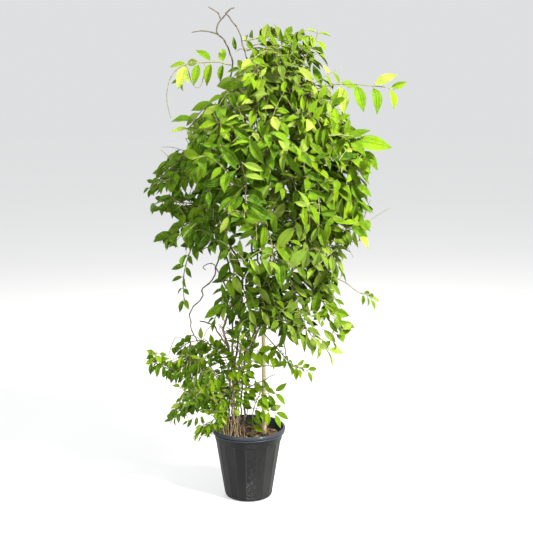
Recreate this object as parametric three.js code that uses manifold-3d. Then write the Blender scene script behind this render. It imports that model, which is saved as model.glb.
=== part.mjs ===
// Potted rangoon creeper: a climbing plant on a bamboo cane in a nursery pot.
// Millimetres, +Z up. The origin is the middle of the pot's underside, and -Y is the front.
import * as THREE from 'three';
import { mergeVertices } from 'three/addons/utils/BufferGeometryUtils.js';
import Module from 'manifold-3d';

const wasm = await Module();
wasm.setup();

// Pot
const POT_HEIGHT = 270;
const RIM_RADIUS = 140;
const BASE_RADIUS = 91;
const CORNER_RADIUS = 12;
const LIP_HEIGHT = 12;
const LIP_OVERHANG = 8;
const COLLAR_HEIGHT = 34;
const COLLAR_STEP = 1.6;
const WALL = 3;
const FLOOR = 4;
const PANEL_COUNT = 18;
const PANEL_STEP = 1.4;
const PANEL_TURN = 6;
const RISER_TURN = 0.35;
const RISER_HEIGHT = 3;
const LIP_TAPER = 2.5;

// Potting mix
const GAP = 0.3;
const SOIL_TOP = 234;
const SOIL_BUMP = 4;
const SOIL_RINGS = [30, 65, 98];
const SOIL_SECTORS = 24;
const SOIL_SLACK = 0.6;
const SOIL_SHOULDER = 2;
const HOLE_SIDES = 7;
const HOLE_HEADROOM = 40;

// Bamboo cane
const STAKE_RADIUS = 8;
const STAKE_FOOT = [61.5, 0, 40];
const STAKE_TOP = [50, 0, 1550];
const STAKE_NODES = [395, 672, 1195];
const STAKE_NODE_SWELL = 1.3;
const STAKE_NODE_HALF = 7;
const STAKE_TIP_TAPER = 1;
const STAKE_SIDES = 10;

// Woody stems
const ROOT_DEPTH = 185;
const ABOVE_SOIL = 246;
const UPRIGHT = 30;
const STEM_SIDES = 6;
const STEM_STEP = 96;
const TWIG_SIDES = 4;
const STEPS_PER_SPAN = 24;

// Leafy shoots
const SHOOT_RADIUS = 2.6;
const BRANCH_RADIUS = 1.7;
const SHOOT_TIP_RADIUS = 1.6;
const BARE_TIP_RADIUS = 1.3;
const SEAT_GAP = 0.3;
const SEAT_STEP = 14;
const NODE_LENGTH = 5;
const SHOOT_STEP = 52;
const BUD_LENGTH = 8;
const HOLD_BACK = 6;
const BARE_END = 20;

// Leaves: lengths as shares of the leaf's own, turns in degrees
const LEAF_WIDTH = 0.46;
const LEAF_THICKNESS = 2.2;
const STALK_SHARE = 0.08;
const STALK_LEAST = 4;
const STALK_ROOT = 2;
const SIDE_SWEEP = 22;
const END_SWEEP = 48;
const SAG = 0.45;
const FACE_OUT = 0.75;
const FACE_UP = 0.55;
const TIP_STRETCH = 0.8;
const TIP_LEAF = 0.86;

// Room kept round each leaf
const SAMPLE_STEP = 4;
const CELL = 10;
const LEAF_CLEARANCE = 6.7;
const STEM_CLEARANCE = 3.8;
const NODE_CLEARANCE = 1.2;
const NODE_REACH = 17;
const POT_CLEARANCE = 6;
const LOOK_AROUND = 16;

const COLOURS = {
  pot: 0x3a3d42,
  soil: 0x5b4334,
  bamboo: 0xcdb98d,
  bark: 0x7d6648,
  olive: 0x6f7440,
  bright: 0x86b52c,
  mid: 0x5d9a2e,
  deep: 0x2f6a26,
  pale: 0xa9cb6c,
};

const material = (colour, roughness) =>
  new THREE.MeshStandardMaterial({ color: COLOURS[colour], roughness, metalness: 0, side: THREE.DoubleSide });

const vector = (place) => new THREE.Vector3(...place);
const radians = THREE.MathUtils.degToRad;
const UP = new THREE.Vector3(0, 0, 1);

// A repeatable draw between low and high for whole-number keys
function draw(low, high, a, b = 0, c = 0) {
  const wave = Math.sin(a * 12.9898 + b * 78.233 + c * 37.719) * 43758.5453;
  return low + (high - low) * (wave - Math.floor(wave));
}

// A closed mesh from shared corners and triangles
class Shell {
  constructor() {
    this.corners = [];
    this.faces = [];
  }

  ring(places) {
    return places.map((place) => this.corners.push(place.clone()) - 1);
  }

  band(lower, upper, skip = []) {
    lower.forEach((corner, side) => {
      if (skip.includes(side)) return;
      const next = (side + 1) % lower.length;
      this.faces.push([corner, lower[next], upper[next]]);
      this.faces.push([corner, upper[next], upper[side]]);
    });
  }

  fan(loop, place) {
    const [tip] = this.ring([place]);
    loop.forEach((corner, side) => this.faces.push([corner, loop[(side + 1) % loop.length], tip]));
  }

  cap(loop) {
    for (let side = 1; side < loop.length - 1; side += 1) {
      this.faces.push([loop[0], loop[side], loop[side + 1]]);
    }
  }

  geometry() {
    const geometry = new THREE.BufferGeometry().setFromPoints(this.corners);
    geometry.setIndex(this.faces.flat());
    return geometry;
  }
}

// A smooth route through points chosen by hand, read by the distance along it
class Route {
  constructor(points) {
    const curve = new THREE.CatmullRomCurve3(points.map(vector), false, 'catmullrom');
    this.places = curve.getPoints((points.length - 1) * STEPS_PER_SPAN);
    this.reach = [0];
    for (let step = 1; step < this.places.length; step += 1) {
      this.reach.push(this.reach[step - 1] + this.places[step].distanceTo(this.places[step - 1]));
    }
    this.length = this.reach.at(-1);
    this.marks = points.map((_, index) => this.reach[index * STEPS_PER_SPAN]);
  }

  at(distance) {
    const wanted = Math.min(Math.max(distance, 0), this.length);
    let step = 1;
    while (step < this.reach.length - 1 && this.reach[step] < wanted) step += 1;
    const share = (wanted - this.reach[step - 1]) / (this.reach[step] - this.reach[step - 1]);
    return this.places[step - 1].clone().lerp(this.places[step], share);
  }

  heading(distance) {
    return this.at(distance + 1).sub(this.at(distance - 1)).normalize();
  }
}

// The direction square to a heading and to a wanted one, which turns little from one place to the next
function across(heading, before, wanted) {
  const side = heading.clone().cross(wanted);
  if (side.length() < 0.3) side.copy(before ?? new THREE.Vector3(1, 0, 0));
  side.normalize();
  if (before) {
    if (side.dot(before) < 0) side.negate();
    side.add(before);
  }
  side.addScaledVector(heading, -side.dot(heading)).normalize();
  return side;
}

// Even steps from low, left out, to high
function spread(low, high, step) {
  const count = Math.max(1, Math.ceil((high - low) / step));
  return Array.from({ length: count }, (_, index) => low + ((high - low) * (index + 1)) / count);
}

// A tapering stem with a ring of corners at each point of its route, and between points far apart
function stemRings(route, radii, sides) {
  const stations = [0];
  route.marks.slice(1).forEach((mark) => stations.push(...spread(stations.at(-1), mark, STEM_STEP)));
  let side = null;
  return stations.map((distance) => {
    const heading = route.heading(distance);
    side = across(heading, side, side ? side.clone().cross(heading) : new THREE.Vector3(0, 1, 0));
    const up = heading.clone().cross(side);
    const radius = radii[0] + ((radii[1] - radii[0]) * distance) / route.length;
    const centre = route.at(distance);
    const places = circlePlaces(centre, side, up, radius, sides);
    return { centre, radius, places };
  });
}

function circlePlaces(centre, side, up, radius, sides) {
  return Array.from({ length: sides }, (_, corner) => {
    const angle = (corner / sides) * 2 * Math.PI;
    return centre.clone()
      .addScaledVector(side, radius * Math.cos(angle))
      .addScaledVector(up, radius * Math.sin(angle));
  });
}

function loft(circles) {
  const shell = new Shell();
  const rings = circles.map((places) => shell.ring(places));
  for (let index = 1; index < rings.length; index += 1) shell.band(rings[index - 1], rings[index]);
  shell.cap([...rings[0]].reverse());
  shell.cap(rings.at(-1));
  return shell.geometry();
}

// Joining and cutting
function solid(geometry) {
  const bare = geometry.clone();
  bare.deleteAttribute('normal');
  bare.deleteAttribute('uv');
  const merged = mergeVertices(bare, 1e-4);
  return new wasm.Manifold(new wasm.Mesh({
    numProp: 3,
    vertProperties: Float32Array.from(merged.attributes.position.array),
    triVerts: Uint32Array.from(merged.index.array),
  }));
}

function faceted(body) {
  const { vertProperties, triVerts } = body.getMesh();
  const geometry = new THREE.BufferGeometry();
  geometry.setAttribute('position', new THREE.BufferAttribute(vertProperties, 3));
  geometry.setIndex(new THREE.BufferAttribute(triVerts, 1));
  return geometry;
}

const plant = new THREE.Group();

function place(name, geometry, surface) {
  geometry.computeVertexNormals();
  const mesh = new THREE.Mesh(geometry, surface);
  mesh.name = name;
  plant.add(mesh);
}

// Pot: rings of three corners for each flat panel, lofted from the underside up and back down inside
function potCorners(radius, height, panels = false) {
  const places = [];
  for (let panel = 0; panel < PANEL_COUNT; panel += 1) {
    const middle = (360 / PANEL_COUNT) * (panel + 0.5) + PANEL_TURN;
    const half = 180 / PANEL_COUNT;
    const lift = panels && panel % 2 ? -PANEL_STEP : 0;
    [-half + RISER_TURN, 0, half - RISER_TURN].forEach((offset) => {
      const flat = panels ? Math.cos(radians(half)) / Math.cos(radians(offset)) : 1;
      const angle = radians(middle + offset);
      const reach = (radius + lift) * flat;
      places.push(new THREE.Vector3(reach * Math.cos(angle), reach * Math.sin(angle), height));
    });
  }
  return places;
}

const potLean = (RIM_RADIUS - LIP_OVERHANG - BASE_RADIUS) / (POT_HEIGHT - CORNER_RADIUS);
const wallRadius = (height) => BASE_RADIUS + potLean * Math.max(0, height - CORNER_RADIUS);
const innerRadius = (height) => (wallRadius(height) - PANEL_STEP) * Math.cos(Math.PI / PANEL_COUNT) - WALL;
const collarRadius = (height) => wallRadius(height) + COLLAR_STEP;

function potGeometry() {
  const shell = new Shell();
  const lip = POT_HEIGHT - LIP_HEIGHT;
  const collar = lip - COLLAR_HEIGHT;
  const panelFoot = CORNER_RADIUS + RISER_HEIGHT;
  const panelHead = collar - RISER_HEIGHT;
  const rings = [
    potCorners(BASE_RADIUS - CORNER_RADIUS, 0),
    potCorners(BASE_RADIUS - CORNER_RADIUS * 0.3, CORNER_RADIUS * 0.3),
    potCorners(BASE_RADIUS, CORNER_RADIUS),
    potCorners(wallRadius(panelFoot), panelFoot, true),
    potCorners(wallRadius(panelHead), panelHead, true),
    potCorners(collarRadius(collar), collar),
    potCorners(collarRadius(lip), lip),
    potCorners(RIM_RADIUS, lip),
    potCorners(RIM_RADIUS - LIP_TAPER, POT_HEIGHT),
    potCorners(collarRadius(POT_HEIGHT) - WALL, POT_HEIGHT),
    potCorners(collarRadius(collar) - WALL, collar),
    potCorners(innerRadius(panelHead), panelHead),
    potCorners(innerRadius(FLOOR), FLOOR),
  ].map((places) => shell.ring(places));
  for (let index = 1; index < rings.length; index += 1) shell.band(rings[index - 1], rings[index]);
  shell.fan([...rings[0]].reverse(), new THREE.Vector3(0, 0, 0));
  shell.fan(rings.at(-1), new THREE.Vector3(0, 0, FLOOR));
  return shell.geometry();
}

place('pot', potGeometry(), material('pot', 0.55));

// Bamboo cane, a little thicker at each of its nodes
const stakeAxis = new THREE.Line3(vector(STAKE_FOOT), vector(STAKE_TOP));
const stakeShare = (height) => (height - STAKE_FOOT[2]) / (STAKE_TOP[2] - STAKE_FOOT[2]);

function stakeGeometry() {
  const length = stakeAxis.distance();
  const stations = [[0, 0]];
  STAKE_NODES.forEach((height) => {
    const middle = stakeShare(height) * length;
    stations.push([middle - STAKE_NODE_HALF, 0], [middle, STAKE_NODE_SWELL], [middle + STAKE_NODE_HALF, 0]);
  });
  stations.push([length, -STAKE_TIP_TAPER]);
  const heading = stakeAxis.delta(new THREE.Vector3()).normalize();
  const side = across(heading, null, new THREE.Vector3(0, 1, 0));
  const up = heading.clone().cross(side);
  return loft(stations.map(([distance, swell]) => {
    const centre = stakeAxis.at(distance / length, new THREE.Vector3());
    return circlePlaces(centre, side, up, STAKE_RADIUS + swell, STAKE_SIDES);
  }));
}

place('stake', stakeGeometry(), material('bamboo', 0.5));

// Stems that stand in the soil start with an upright stretch in a plain hole
const rooted = (x, y, points) => [
  [x, y, ROOT_DEPTH], [x, y, ABOVE_SOIL], [x, y, ABOVE_SOIL + UPRIGHT], ...points,
];

// The twining stem goes round the bamboo cane a quarter turn at a time
function twined(low, high, rise, reach) {
  const points = [];
  for (let height = low, quarter = -1; height <= high; height += rise, quarter += 1) {
    const centre = stakeAxis.at(stakeShare(height), new THREE.Vector3());
    const angle = (quarter * Math.PI) / 2;
    points.push([centre.x + reach * Math.cos(angle), reach * Math.sin(angle), height]);
  }
  return points;
}

const CANES = {
  cane_left: {
    radii: [4.6, 2.4],
    points: rooted(-62, 12, [
      [-60, 14, 400], [-46, 18, 540], [-30, 16, 660], [-24, 8, 770], [-26, -10, 870], [-72, -20, 983],
      [-129, -30, 1112], [-143, -20, 1256], [-113, 0, 1415], [-66, 5, 1539], [-55, 5, 1627], [-79, 0, 1689],
      [-101, 0, 1714], [-107, 2, 1736], [-94, 5, 1767], [-75, 2, 1786], [-57, 0, 1803], [-43, -3, 1807],
    ]),
    twigs: [
      {
        radii: [2.6, 1.6],
        points: [[-101, 0, 1714], [-129, -10, 1724], [-165, -20, 1726], [-197, -25, 1720]],
      },
      { radii: [2.3, 1.5], points: [[-94, 5, 1767], [-100, 7, 1788], [-115, 9, 1797], [-139, 10, 1812]] },
      {
        radii: [2.8, 1.8],
        points: [
          [-82, -22, 1003], [-104, -30, 930], [-122, -33, 855], [-145, -37, 824], [-168, -40, 800],
          [-166, -40, 778], [-197, -50, 742], [-214, -50, 711], [-212, -50, 684], [-202, -50, 646],
          [-184, -50, 605],
        ],
      },
      {
        radii: [2.2, 1.4],
        points: [
          [-95, -24, 1033], [-112, -44, 975], [-132, -48, 966], [-155, -50, 959], [-177, -52, 946],
          [-195, -55, 965],
        ],
      },
    ],
  },
  cane_front: {
    radii: [4.8, 2.2],
    points: rooted(-76, -24, [
      [-70, -38, 390], [-63, -45, 520], [-76, -47, 600], [-90, -45, 656], [-73, -44, 712],
      [-48, -48, 767], [-28, -55, 828], [5, -66, 900], [18, -105, 980], [14, -135, 1080],
      [11, -150, 1212], [18, -120, 1367], [17, -75, 1504], [-1, -48, 1622], [-15, -44, 1681],
      [-32, -46, 1729], [-50, -45, 1757], [-78, -42, 1789],
    ]),
    twigs: [
      {
        radii: [3, 2.4],
        points: [[-72, -46, 585], [-96, -52, 623], [-124, -60, 671], [-153, -65, 685], [-178, -70, 692]],
      },
      {
        radii: [2.2, 1.4],
        points: [
          [-44, -50, 775], [-88, -56, 830], [-116, -62, 895], [-141, -64, 902], [-163, -64, 892],
          [-150, -64, 878],
        ],
      },
    ],
  },
  cane_right: {
    radii: [5, 2.4],
    points: rooted(-43, -25, [
      [-42, -22, 377], [-35, -18, 511], [-17, 0, 623], [5, 18, 707], [32, 28, 780], [75, 30, 845],
      [129, 20, 920], [183, 10, 1034], [225, -10, 1201], [224, -10, 1380], [188, 0, 1500], [170, 0, 1571],
      [159, 0, 1626], [155, 0, 1661], [160, 4, 1690],
    ]),
    twigs: [
      {
        radii: [2.8, 2],
        points: [
          [66, 31, 832], [86, 8, 790], [88, -20, 725], [112, -27, 667], [128, -30, 637], [136, -35, 593],
          [140, -40, 551],
        ],
      },
    ],
  },
  cane_back: {
    radii: [4.4, 2.2],
    points: rooted(-30, 22, [
      [-26, 30, 400], [-10, 44, 560], [25, 58, 700], [60, 66, 800], [84, 84, 900], [100, 120, 1039],
      [81, 160, 1224], [51, 145, 1394], [52, 95, 1522], [76, 60, 1620],
    ]),
    twigs: [],
  },
  cane_back_left: {
    radii: [4.4, 2.2],
    points: rooted(-54, 42, [
      [-60, 55, 400], [-62, 70, 560], [-60, 85, 720], [-78, 105, 880], [-118, 130, 1040], [-135, 145, 1200],
      [-100, 125, 1370], [-45, 85, 1500], [-5, 55, 1610],
    ]),
    twigs: [],
  },
  cane_side: {
    radii: [4.4, 2.2],
    points: rooted(-14, 2, [
      [-9, 8, 400], [8, 24, 520], [32, 38, 620], [85, 40, 715], [140, 44, 800], [195, 70, 920],
      [235, 90, 1060], [225, 95, 1230], [175, 85, 1390], [130, 60, 1500],
    ]),
    twigs: [
      { radii: [2.2, 1.5], points: [[50, 40, 655], [74, 26, 640], [98, 12, 668], [116, 2, 640]] },
    ],
  },
  cane_twining: {
    radii: [4.2, 2.2],
    points: rooted(-16, -26, [[-12, -26, 400], [2, -27, 540], [26, -27, 650], ...twined(735, 1500, 62, 22)]),
    twigs: [
      { radii: [2.2, 1.6], points: [[0, -27, 512], [30, -36, 514], [59, -40, 516], [112, -50, 514]] },
      { radii: [2.2, 1.5], points: [[-10, -27, 425], [14, -32, 436], [59, -40, 461], [102, -50, 487]] },
    ],
  },
};

const stems = {};
const capsules = [];

// Every stem is also kept as a chain of straight rods, which leaves keep clear of
function noteStem(owner, rings) {
  for (let index = 1; index < rings.length; index += 1) {
    const rod = new THREE.Line3(rings[index - 1].centre, rings[index].centre);
    capsules.push({ owner, rod, radius: rings[index - 1].radius });
  }
}

// A cane with its bare twigs joined to it, each from the point of the cane's route nearest its first point
Object.entries(CANES).forEach(([name, { radii, points, twigs }]) => {
  const rings = stemRings(new Route(points), radii, STEM_SIDES);
  stems[name] = rings;
  noteStem(name, rings);
  let body = solid(loft(rings.map(({ places }) => places)));
  twigs.forEach((twig) => {
    const wanted = vector(twig.points[0]);
    const away = (point) => vector(point).distanceTo(wanted);
    const start = points.reduce((best, point) => (away(point) < away(best) ? point : best));
    const side = stemRings(new Route([start, ...twig.points.slice(1)]), twig.radii, TWIG_SIDES);
    noteStem(name, side);
    body = body.add(solid(loft(side.map(({ places }) => places))));
  });
  place(name, faceted(body), material(name === 'cane_right' ? 'olive' : 'bark', 0.8));
});
capsules.push({ owner: 'stake', rod: stakeAxis, radius: STAKE_RADIUS + STAKE_NODE_SWELL });

// A shoot of the crown leaves its stem at a height and arches out and down
function arching(carrier, height, angle, reach, drop) {
  const rings = stems[carrier];
  const above = rings.findIndex(({ centre }) => centre.z > height);
  const [low, high] = [rings[above - 1].centre, rings[above].centre];
  const start = low.clone().lerp(high, (height - low.z) / (high.z - low.z));
  const out = new THREE.Vector3(Math.cos(radians(angle)), Math.sin(radians(angle)), 0);
  const at = (share, rise) => {
    const point = start.clone().addScaledVector(out, reach * share);
    return point.setZ(start.z + rise).toArray();
  };
  return [at(0.3, 18 + reach * 0.06), at(0.68, 14 + reach * 0.04 - drop * 0.25), at(1, -drop)];
}

// Ways that traced shoots at the sides turn their leaves
const FRONT_LEFT = [-0.45, -0.75, 0.5];
const FRONT_RIGHT = [0.45, -0.75, 0.5];

// Shoots: what each grows on or its root's place, leaf length, pitch between leaf pairs, where the first
// pair stands along it, every how many pitches a pair is built, and the points that it passes through
const SHOOTS = [
  // Silhouette shoots, traced point by point
  {
    name: 'runner_right', on: 'cane_right', leaf: 78, pitch: 60, first: 150, colour: 'bright', sag: 0.9,
    face: [0.1, -1, 0.35],
    points: [
      [212, -10, 1500], [233, -20, 1518], [270, -30, 1532], [316, -40, 1541], [369, -50, 1542],
      [440, -60, 1535], [490, -60, 1530], [520, -60, 1522],
    ],
  },
  {
    name: 'arch_left', on: 'cane_left', leaf: 70, pitch: 44, first: 30, last: 170, colour: 'bright',
    face: [-0.3, -1, 0.5],
    points: [
      [-104, -15, 1619], [-153, -20, 1617], [-202, -25, 1614], [-244, -30, 1596], [-271, -30, 1564],
      [-283, -30, 1525], [-286, -25, 1486], [-280, -20, 1448], [-273, -20, 1420],
    ],
  },
  {
    name: 'arch_top', on: 'cane_front', leaf: 50, pitch: 24, first: 24, colour: 'bright',
    points: [[-4, -30, 1692], [36, -32, 1700], [87, -30, 1706], [122, -30, 1694], [150, -30, 1665]],
  },
  {
    name: 'shoot_top_right', on: 'cane_right', leaf: 52, pitch: 26, first: 24, colour: 'bright',
    face: FRONT_RIGHT,
    points: [[188, -6, 1650], [215, -12, 1664], [238, -15, 1684], [250, -20, 1730]],
  },
  {
    name: 'shoot_right_upper', on: 'cane_right', leaf: 104, pitch: 42, first: 50, colour: 'bright',
    face: FRONT_RIGHT,
    points: [[262, -30, 1388], [300, -50, 1380], [360, -70, 1352], [412, -80, 1300]],
  },
  {
    name: 'shoot_right_high', on: 'cane_right', leaf: 92, pitch: 40, first: 40, colour: 'bright',
    points: [[262, -6, 1300], [310, 0, 1290], [365, 0, 1240], [400, -10, 1180]],
  },
  {
    name: 'shoot_right_middle', on: 'cane_right', leaf: 84, pitch: 38, first: 40, colour: 'bright',
    face: FRONT_RIGHT,
    points: [[262, -50, 1208], [300, -80, 1210], [345, -100, 1170], [380, -110, 1115]],
  },
  {
    name: 'shoot_right_low', on: 'cane_right', leaf: 80, pitch: 36, first: 40, colour: 'mid',
    face: FRONT_RIGHT,
    points: [[225, -30, 1075], [269, -50, 1062], [320, -65, 1052], [372, -75, 1030], [415, -80, 1026]],
  },
  {
    name: 'shoot_right_hanging', on: 'cane_right', leaf: 78, pitch: 34, first: 50, colour: 'pale',
    points: [[200, -60, 1010], [250, -90, 1000], [296, -100, 960], [318, -105, 900]],
  },
  {
    name: 'vine_right_low', on: 'cane_side', leaf: 66, pitch: 34, first: 40, last: 190, colour: 'mid',
    face: FRONT_RIGHT,
    points: [
      [215, 30, 905], [268, -20, 900], [313, -40, 853], [360, -52, 828], [404, -60, 796],
      [450, -60, 787],
    ],
  },
  {
    name: 'spray_right_long', on: 'cane_right', leaf: 66, pitch: 37, first: 90, colour: 'pale',
    points: [
      [150, -60, 850], [160, -115, 815], [178, -150, 765], [196, -165, 712], [221, -170, 671],
      [256, -175, 634], [290, -178, 606],
    ],
  },
  {
    name: 'spray_right_short', on: 'cane_side', leaf: 64, pitch: 32, first: 50, colour: 'bright',
    face: FRONT_RIGHT,
    points: [[195, 30, 830], [232, -10, 800], [278, -40, 752], [318, -60, 706], [352, -60, 670]],
  },
  {
    name: 'shoot_left_top', on: 'cane_left', leaf: 72, pitch: 34, first: 30, colour: 'mid',
    face: FRONT_LEFT,
    points: [[-112, -20, 1470], [-145, -35, 1465], [-185, -50, 1420], [-215, -60, 1365]],
  },
  {
    name: 'shoot_left_upper', on: 'cane_left', leaf: 74, pitch: 34, first: 30, colour: 'mid',
    face: FRONT_LEFT,
    points: [[-170, -30, 1300], [-205, -40, 1290], [-255, -45, 1262], [-300, -50, 1225]],
  },
  {
    name: 'spray_left_fine', on: 'cane_left', leaf: 46, pitch: 27, first: 60, colour: 'deep',
    face: FRONT_LEFT,
    points: [[-185, -45, 1225], [-235, -60, 1215], [-285, -70, 1206], [-325, -75, 1196], [-350, -75, 1174]],
  },
  {
    name: 'spray_left_low', on: 'cane_left', leaf: 50, pitch: 25, first: 50, colour: 'mid',
    face: FRONT_LEFT,
    points: [[-175, -20, 1118], [-215, -20, 1118], [-265, -20, 1122], [-310, -25, 1124], [-344, -30, 1112]],
  },
  {
    name: 'shoot_left_low', on: 'cane_left', leaf: 66, pitch: 32, first: 30, colour: 'mid',
    face: FRONT_LEFT,
    points: [[-150, -60, 1075], [-190, -75, 1060], [-245, -85, 1035], [-290, -90, 1005]],
  },
  {
    name: 'vine_left_hanging', on: 'cane_left', leaf: 46, pitch: 42, first: 60, colour: 'mid',
    face: FRONT_LEFT,
    points: [
      [-120, -60, 1045], [-165, -80, 1020], [-200, -85, 965], [-221, -85, 905], [-232, -80, 850],
      [-232, -75, 790], [-226, -75, 752],
    ],
  },
  {
    name: 'spray_centre_low', on: 'cane_front', leaf: 58, pitch: 36, first: 40, colour: 'bright',
    points: [[-40, -85, 870], [-74, -110, 838], [-88, -122, 785], [-108, -128, 735], [-128, -130, 690]],
  },
  {
    name: 'shoot_stake_front', on: 'cane_front', leaf: 60, pitch: 36, first: 40, colour: 'bright',
    points: [[30, -110, 880], [40, -135, 830], [56, -140, 780], [72, -140, 730], [70, -136, 690]],
  },
  {
    name: 'vine_stake_right', on: 'cane_twining', leaf: 46, pitch: 24, first: 110, colour: 'bright',
    points: [
      [50, -50, 650], [85, -58, 612], [112, -62, 582], [140, -64, 548], [168, -68, 520],
      [206, -70, 516],
    ],
  },

  // Low bush of smaller leaves at the left, on stems of its own from the soil
  {
    name: 'bush_top_left', root: [-92, 22], radius: 3, leaf: 40, pitch: 19, every: 2, first: 330,
    colour: 'bright', face: FRONT_LEFT,
    points: [
      [-100, 10, 340], [-126, -20, 405], [-180, -60, 462], [-235, -85, 496], [-290, -100, 520],
      [-348, -112, 552],
    ],
  },
  {
    name: 'bush_crest', root: [-72, 28], radius: 3, leaf: 42, pitch: 20, every: 2, first: 380, colour: 'mid',
    face: FRONT_LEFT,
    points: [
      [-80, 24, 360], [-96, 10, 460], [-116, -10, 550], [-160, -30, 604], [-215, -45, 606],
      [-262, -55, 575],
    ],
  },
  {
    name: 'bush_middle', root: [-96, -24], radius: 3, leaf: 42, pitch: 19, every: 2, first: 220,
    colour: 'bright', face: FRONT_LEFT,
    points: [[-106, -34, 340], [-120, -60, 410], [-146, -90, 480], [-190, -110, 540], [-222, -120, 560]],
  },
  {
    name: 'bush_front', root: [-84, -42], radius: 3, leaf: 42, pitch: 20, every: 2, first: 170,
    colour: 'bright',
    points: [[-90, -60, 330], [-110, -100, 385], [-140, -140, 430], [-185, -165, 455], [-222, -175, 440]],
  },
  {
    name: 'bush_low_left', root: [-104, -6], radius: 2.8, leaf: 40, pitch: 19, every: 2, first: 170,
    colour: 'mid', face: FRONT_LEFT,
    points: [[-118, -14, 330], [-150, -34, 372], [-200, -60, 392], [-248, -76, 362], [-276, -84, 326]],
  },
  {
    name: 'bush_back', root: [-80, 48], radius: 3, leaf: 42, pitch: 20, every: 2, first: 230, colour: 'mid',
    points: [[-96, 62, 350], [-124, 74, 440], [-168, 72, 506], [-220, 56, 520], [-266, 40, 486]],
  },
  {
    name: 'bush_front_low', on: 'bush_front', branch: true, leaf: 38, pitch: 18, every: 2, first: 40,
    points: [[-104, -88, 306], [-132, -120, 316], [-164, -146, 304], [-192, -158, 272]],
  },
  {
    name: 'sprout_stake', root: [16, -30], radius: 2.4, leaf: 44, pitch: 33, first: 100, colour: 'bright',
    points: [[18, -40, 340], [34, -52, 390], [52, -52, 430], [70, -56, 452]],
  },
];

// Crown shoots by place: name, carrier, height, compass angle, reach, drop, leaf and colour
[
  ['top_centre', 'cane_front', 1640, 5, 140, 30, 60, 'bright'],
  ['front_peak', 'cane_front', 1570, -70, 150, 40, 70, 'bright'],
  ['front_crown', 'cane_twining', 1450, -60, 210, 80, 78, 'bright'],
  ['front_top_left', 'cane_front', 1500, -140, 170, 70, 74, 'mid'],
  ['front_top_right', 'cane_right', 1500, -80, 190, 70, 78, 'bright'],
  ['front_upper_left', 'cane_front', 1410, -150, 190, 90, 78, 'mid'],
  ['front_upper', 'cane_front', 1360, -70, 190, 90, 80, 'mid'],
  ['front_upper_right', 'cane_right', 1400, -95, 240, 110, 80, 'bright'],
  ['front_middle_left', 'cane_left', 1270, -65, 230, 120, 78, 'deep'],
  ['front_middle', 'cane_front', 1210, -95, 190, 110, 80, 'mid'],
  ['front_middle_right', 'cane_right', 1240, -85, 240, 130, 82, 'bright'],
  ['front_low_left', 'cane_front', 1090, -145, 180, 110, 74, 'deep'],
  ['front_low', 'cane_front', 1050, -60, 170, 110, 76, 'mid'],
  ['front_low_right', 'cane_right', 1100, -90, 230, 130, 76, 'pale'],
  ['back_peak', 'cane_back', 1560, 80, 150, 60, 70, 'bright'],
  ['back_upper_left', 'cane_back_left', 1420, 120, 190, 100, 78, 'mid'],
  ['back_upper_right', 'cane_side', 1420, 40, 200, 100, 78, 'bright'],
  ['back_middle_left', 'cane_back_left', 1250, 165, 190, 110, 78, 'deep'],
  ['back_middle', 'cane_back', 1270, 95, 190, 120, 80, 'mid'],
  ['back_middle_right', 'cane_side', 1210, 20, 190, 120, 80, 'bright'],
  ['back_low_left', 'cane_back_left', 1080, 115, 190, 130, 74, 'deep'],
  ['back_low_right', 'cane_back', 1060, 60, 200, 140, 76, 'mid'],
].forEach(([name, on, height, angle, reach, drop, leaf, colour]) => {
  SHOOTS.push({
    name, on, leaf, colour, pitch: leaf * 0.6, first: 36, points: arching(on, height, angle, reach, drop),
  });
});

// Branches of crown shoots, joined to the shoot that they grow from
SHOOTS.push(
  {
    name: 'front_upper_side', on: 'front_upper', branch: true, leaf: 74, pitch: 44, first: 40,
    points: [[8, -196, 1384], [-38, -226, 1356], [-78, -246, 1290]],
  },
  {
    name: 'front_upper_right_side', on: 'front_upper_right', branch: true, leaf: 76, pitch: 46, first: 40,
    points: [[184, -112, 1416], [146, -160, 1384], [112, -200, 1310]],
  },
  {
    name: 'back_middle_side', on: 'back_middle', branch: true, leaf: 76, pitch: 46, first: 40,
    points: [[98, 240, 1286], [150, 262, 1256], [194, 266, 1186]],
  },
);

const CROWN_AXIS = new THREE.Vector2(40, 0);

// The turns that a leaf tries in order: sweep and twist in degrees, added sag, and size
const TURNS = [
  [0, 0, 0, 1], [18, 10, 0.15, 1], [-18, -10, -0.15, 1], [8, 24, 0.3, 0.95], [-8, -24, -0.3, 0.95],
  [30, 0, 0.5, 0.9], [-26, 14, 0.6, 0.9], [0, 40, 0, 0.85], [0, -40, 0.4, 0.85], [10, 0, 0.9, 0.7],
];

// A blade's outline from base to tip: share of its length and of its half width, and where its rib bends
const OUTLINE = [[0.29, 0.92], [0.66, 0.85]];
const RIB_BEND = 0.46;

const turned = (from, towards, degrees) => from.clone()
  .multiplyScalar(Math.cos(radians(degrees)))
  .addScaledVector(towards, Math.sin(radians(degrees)));

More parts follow.
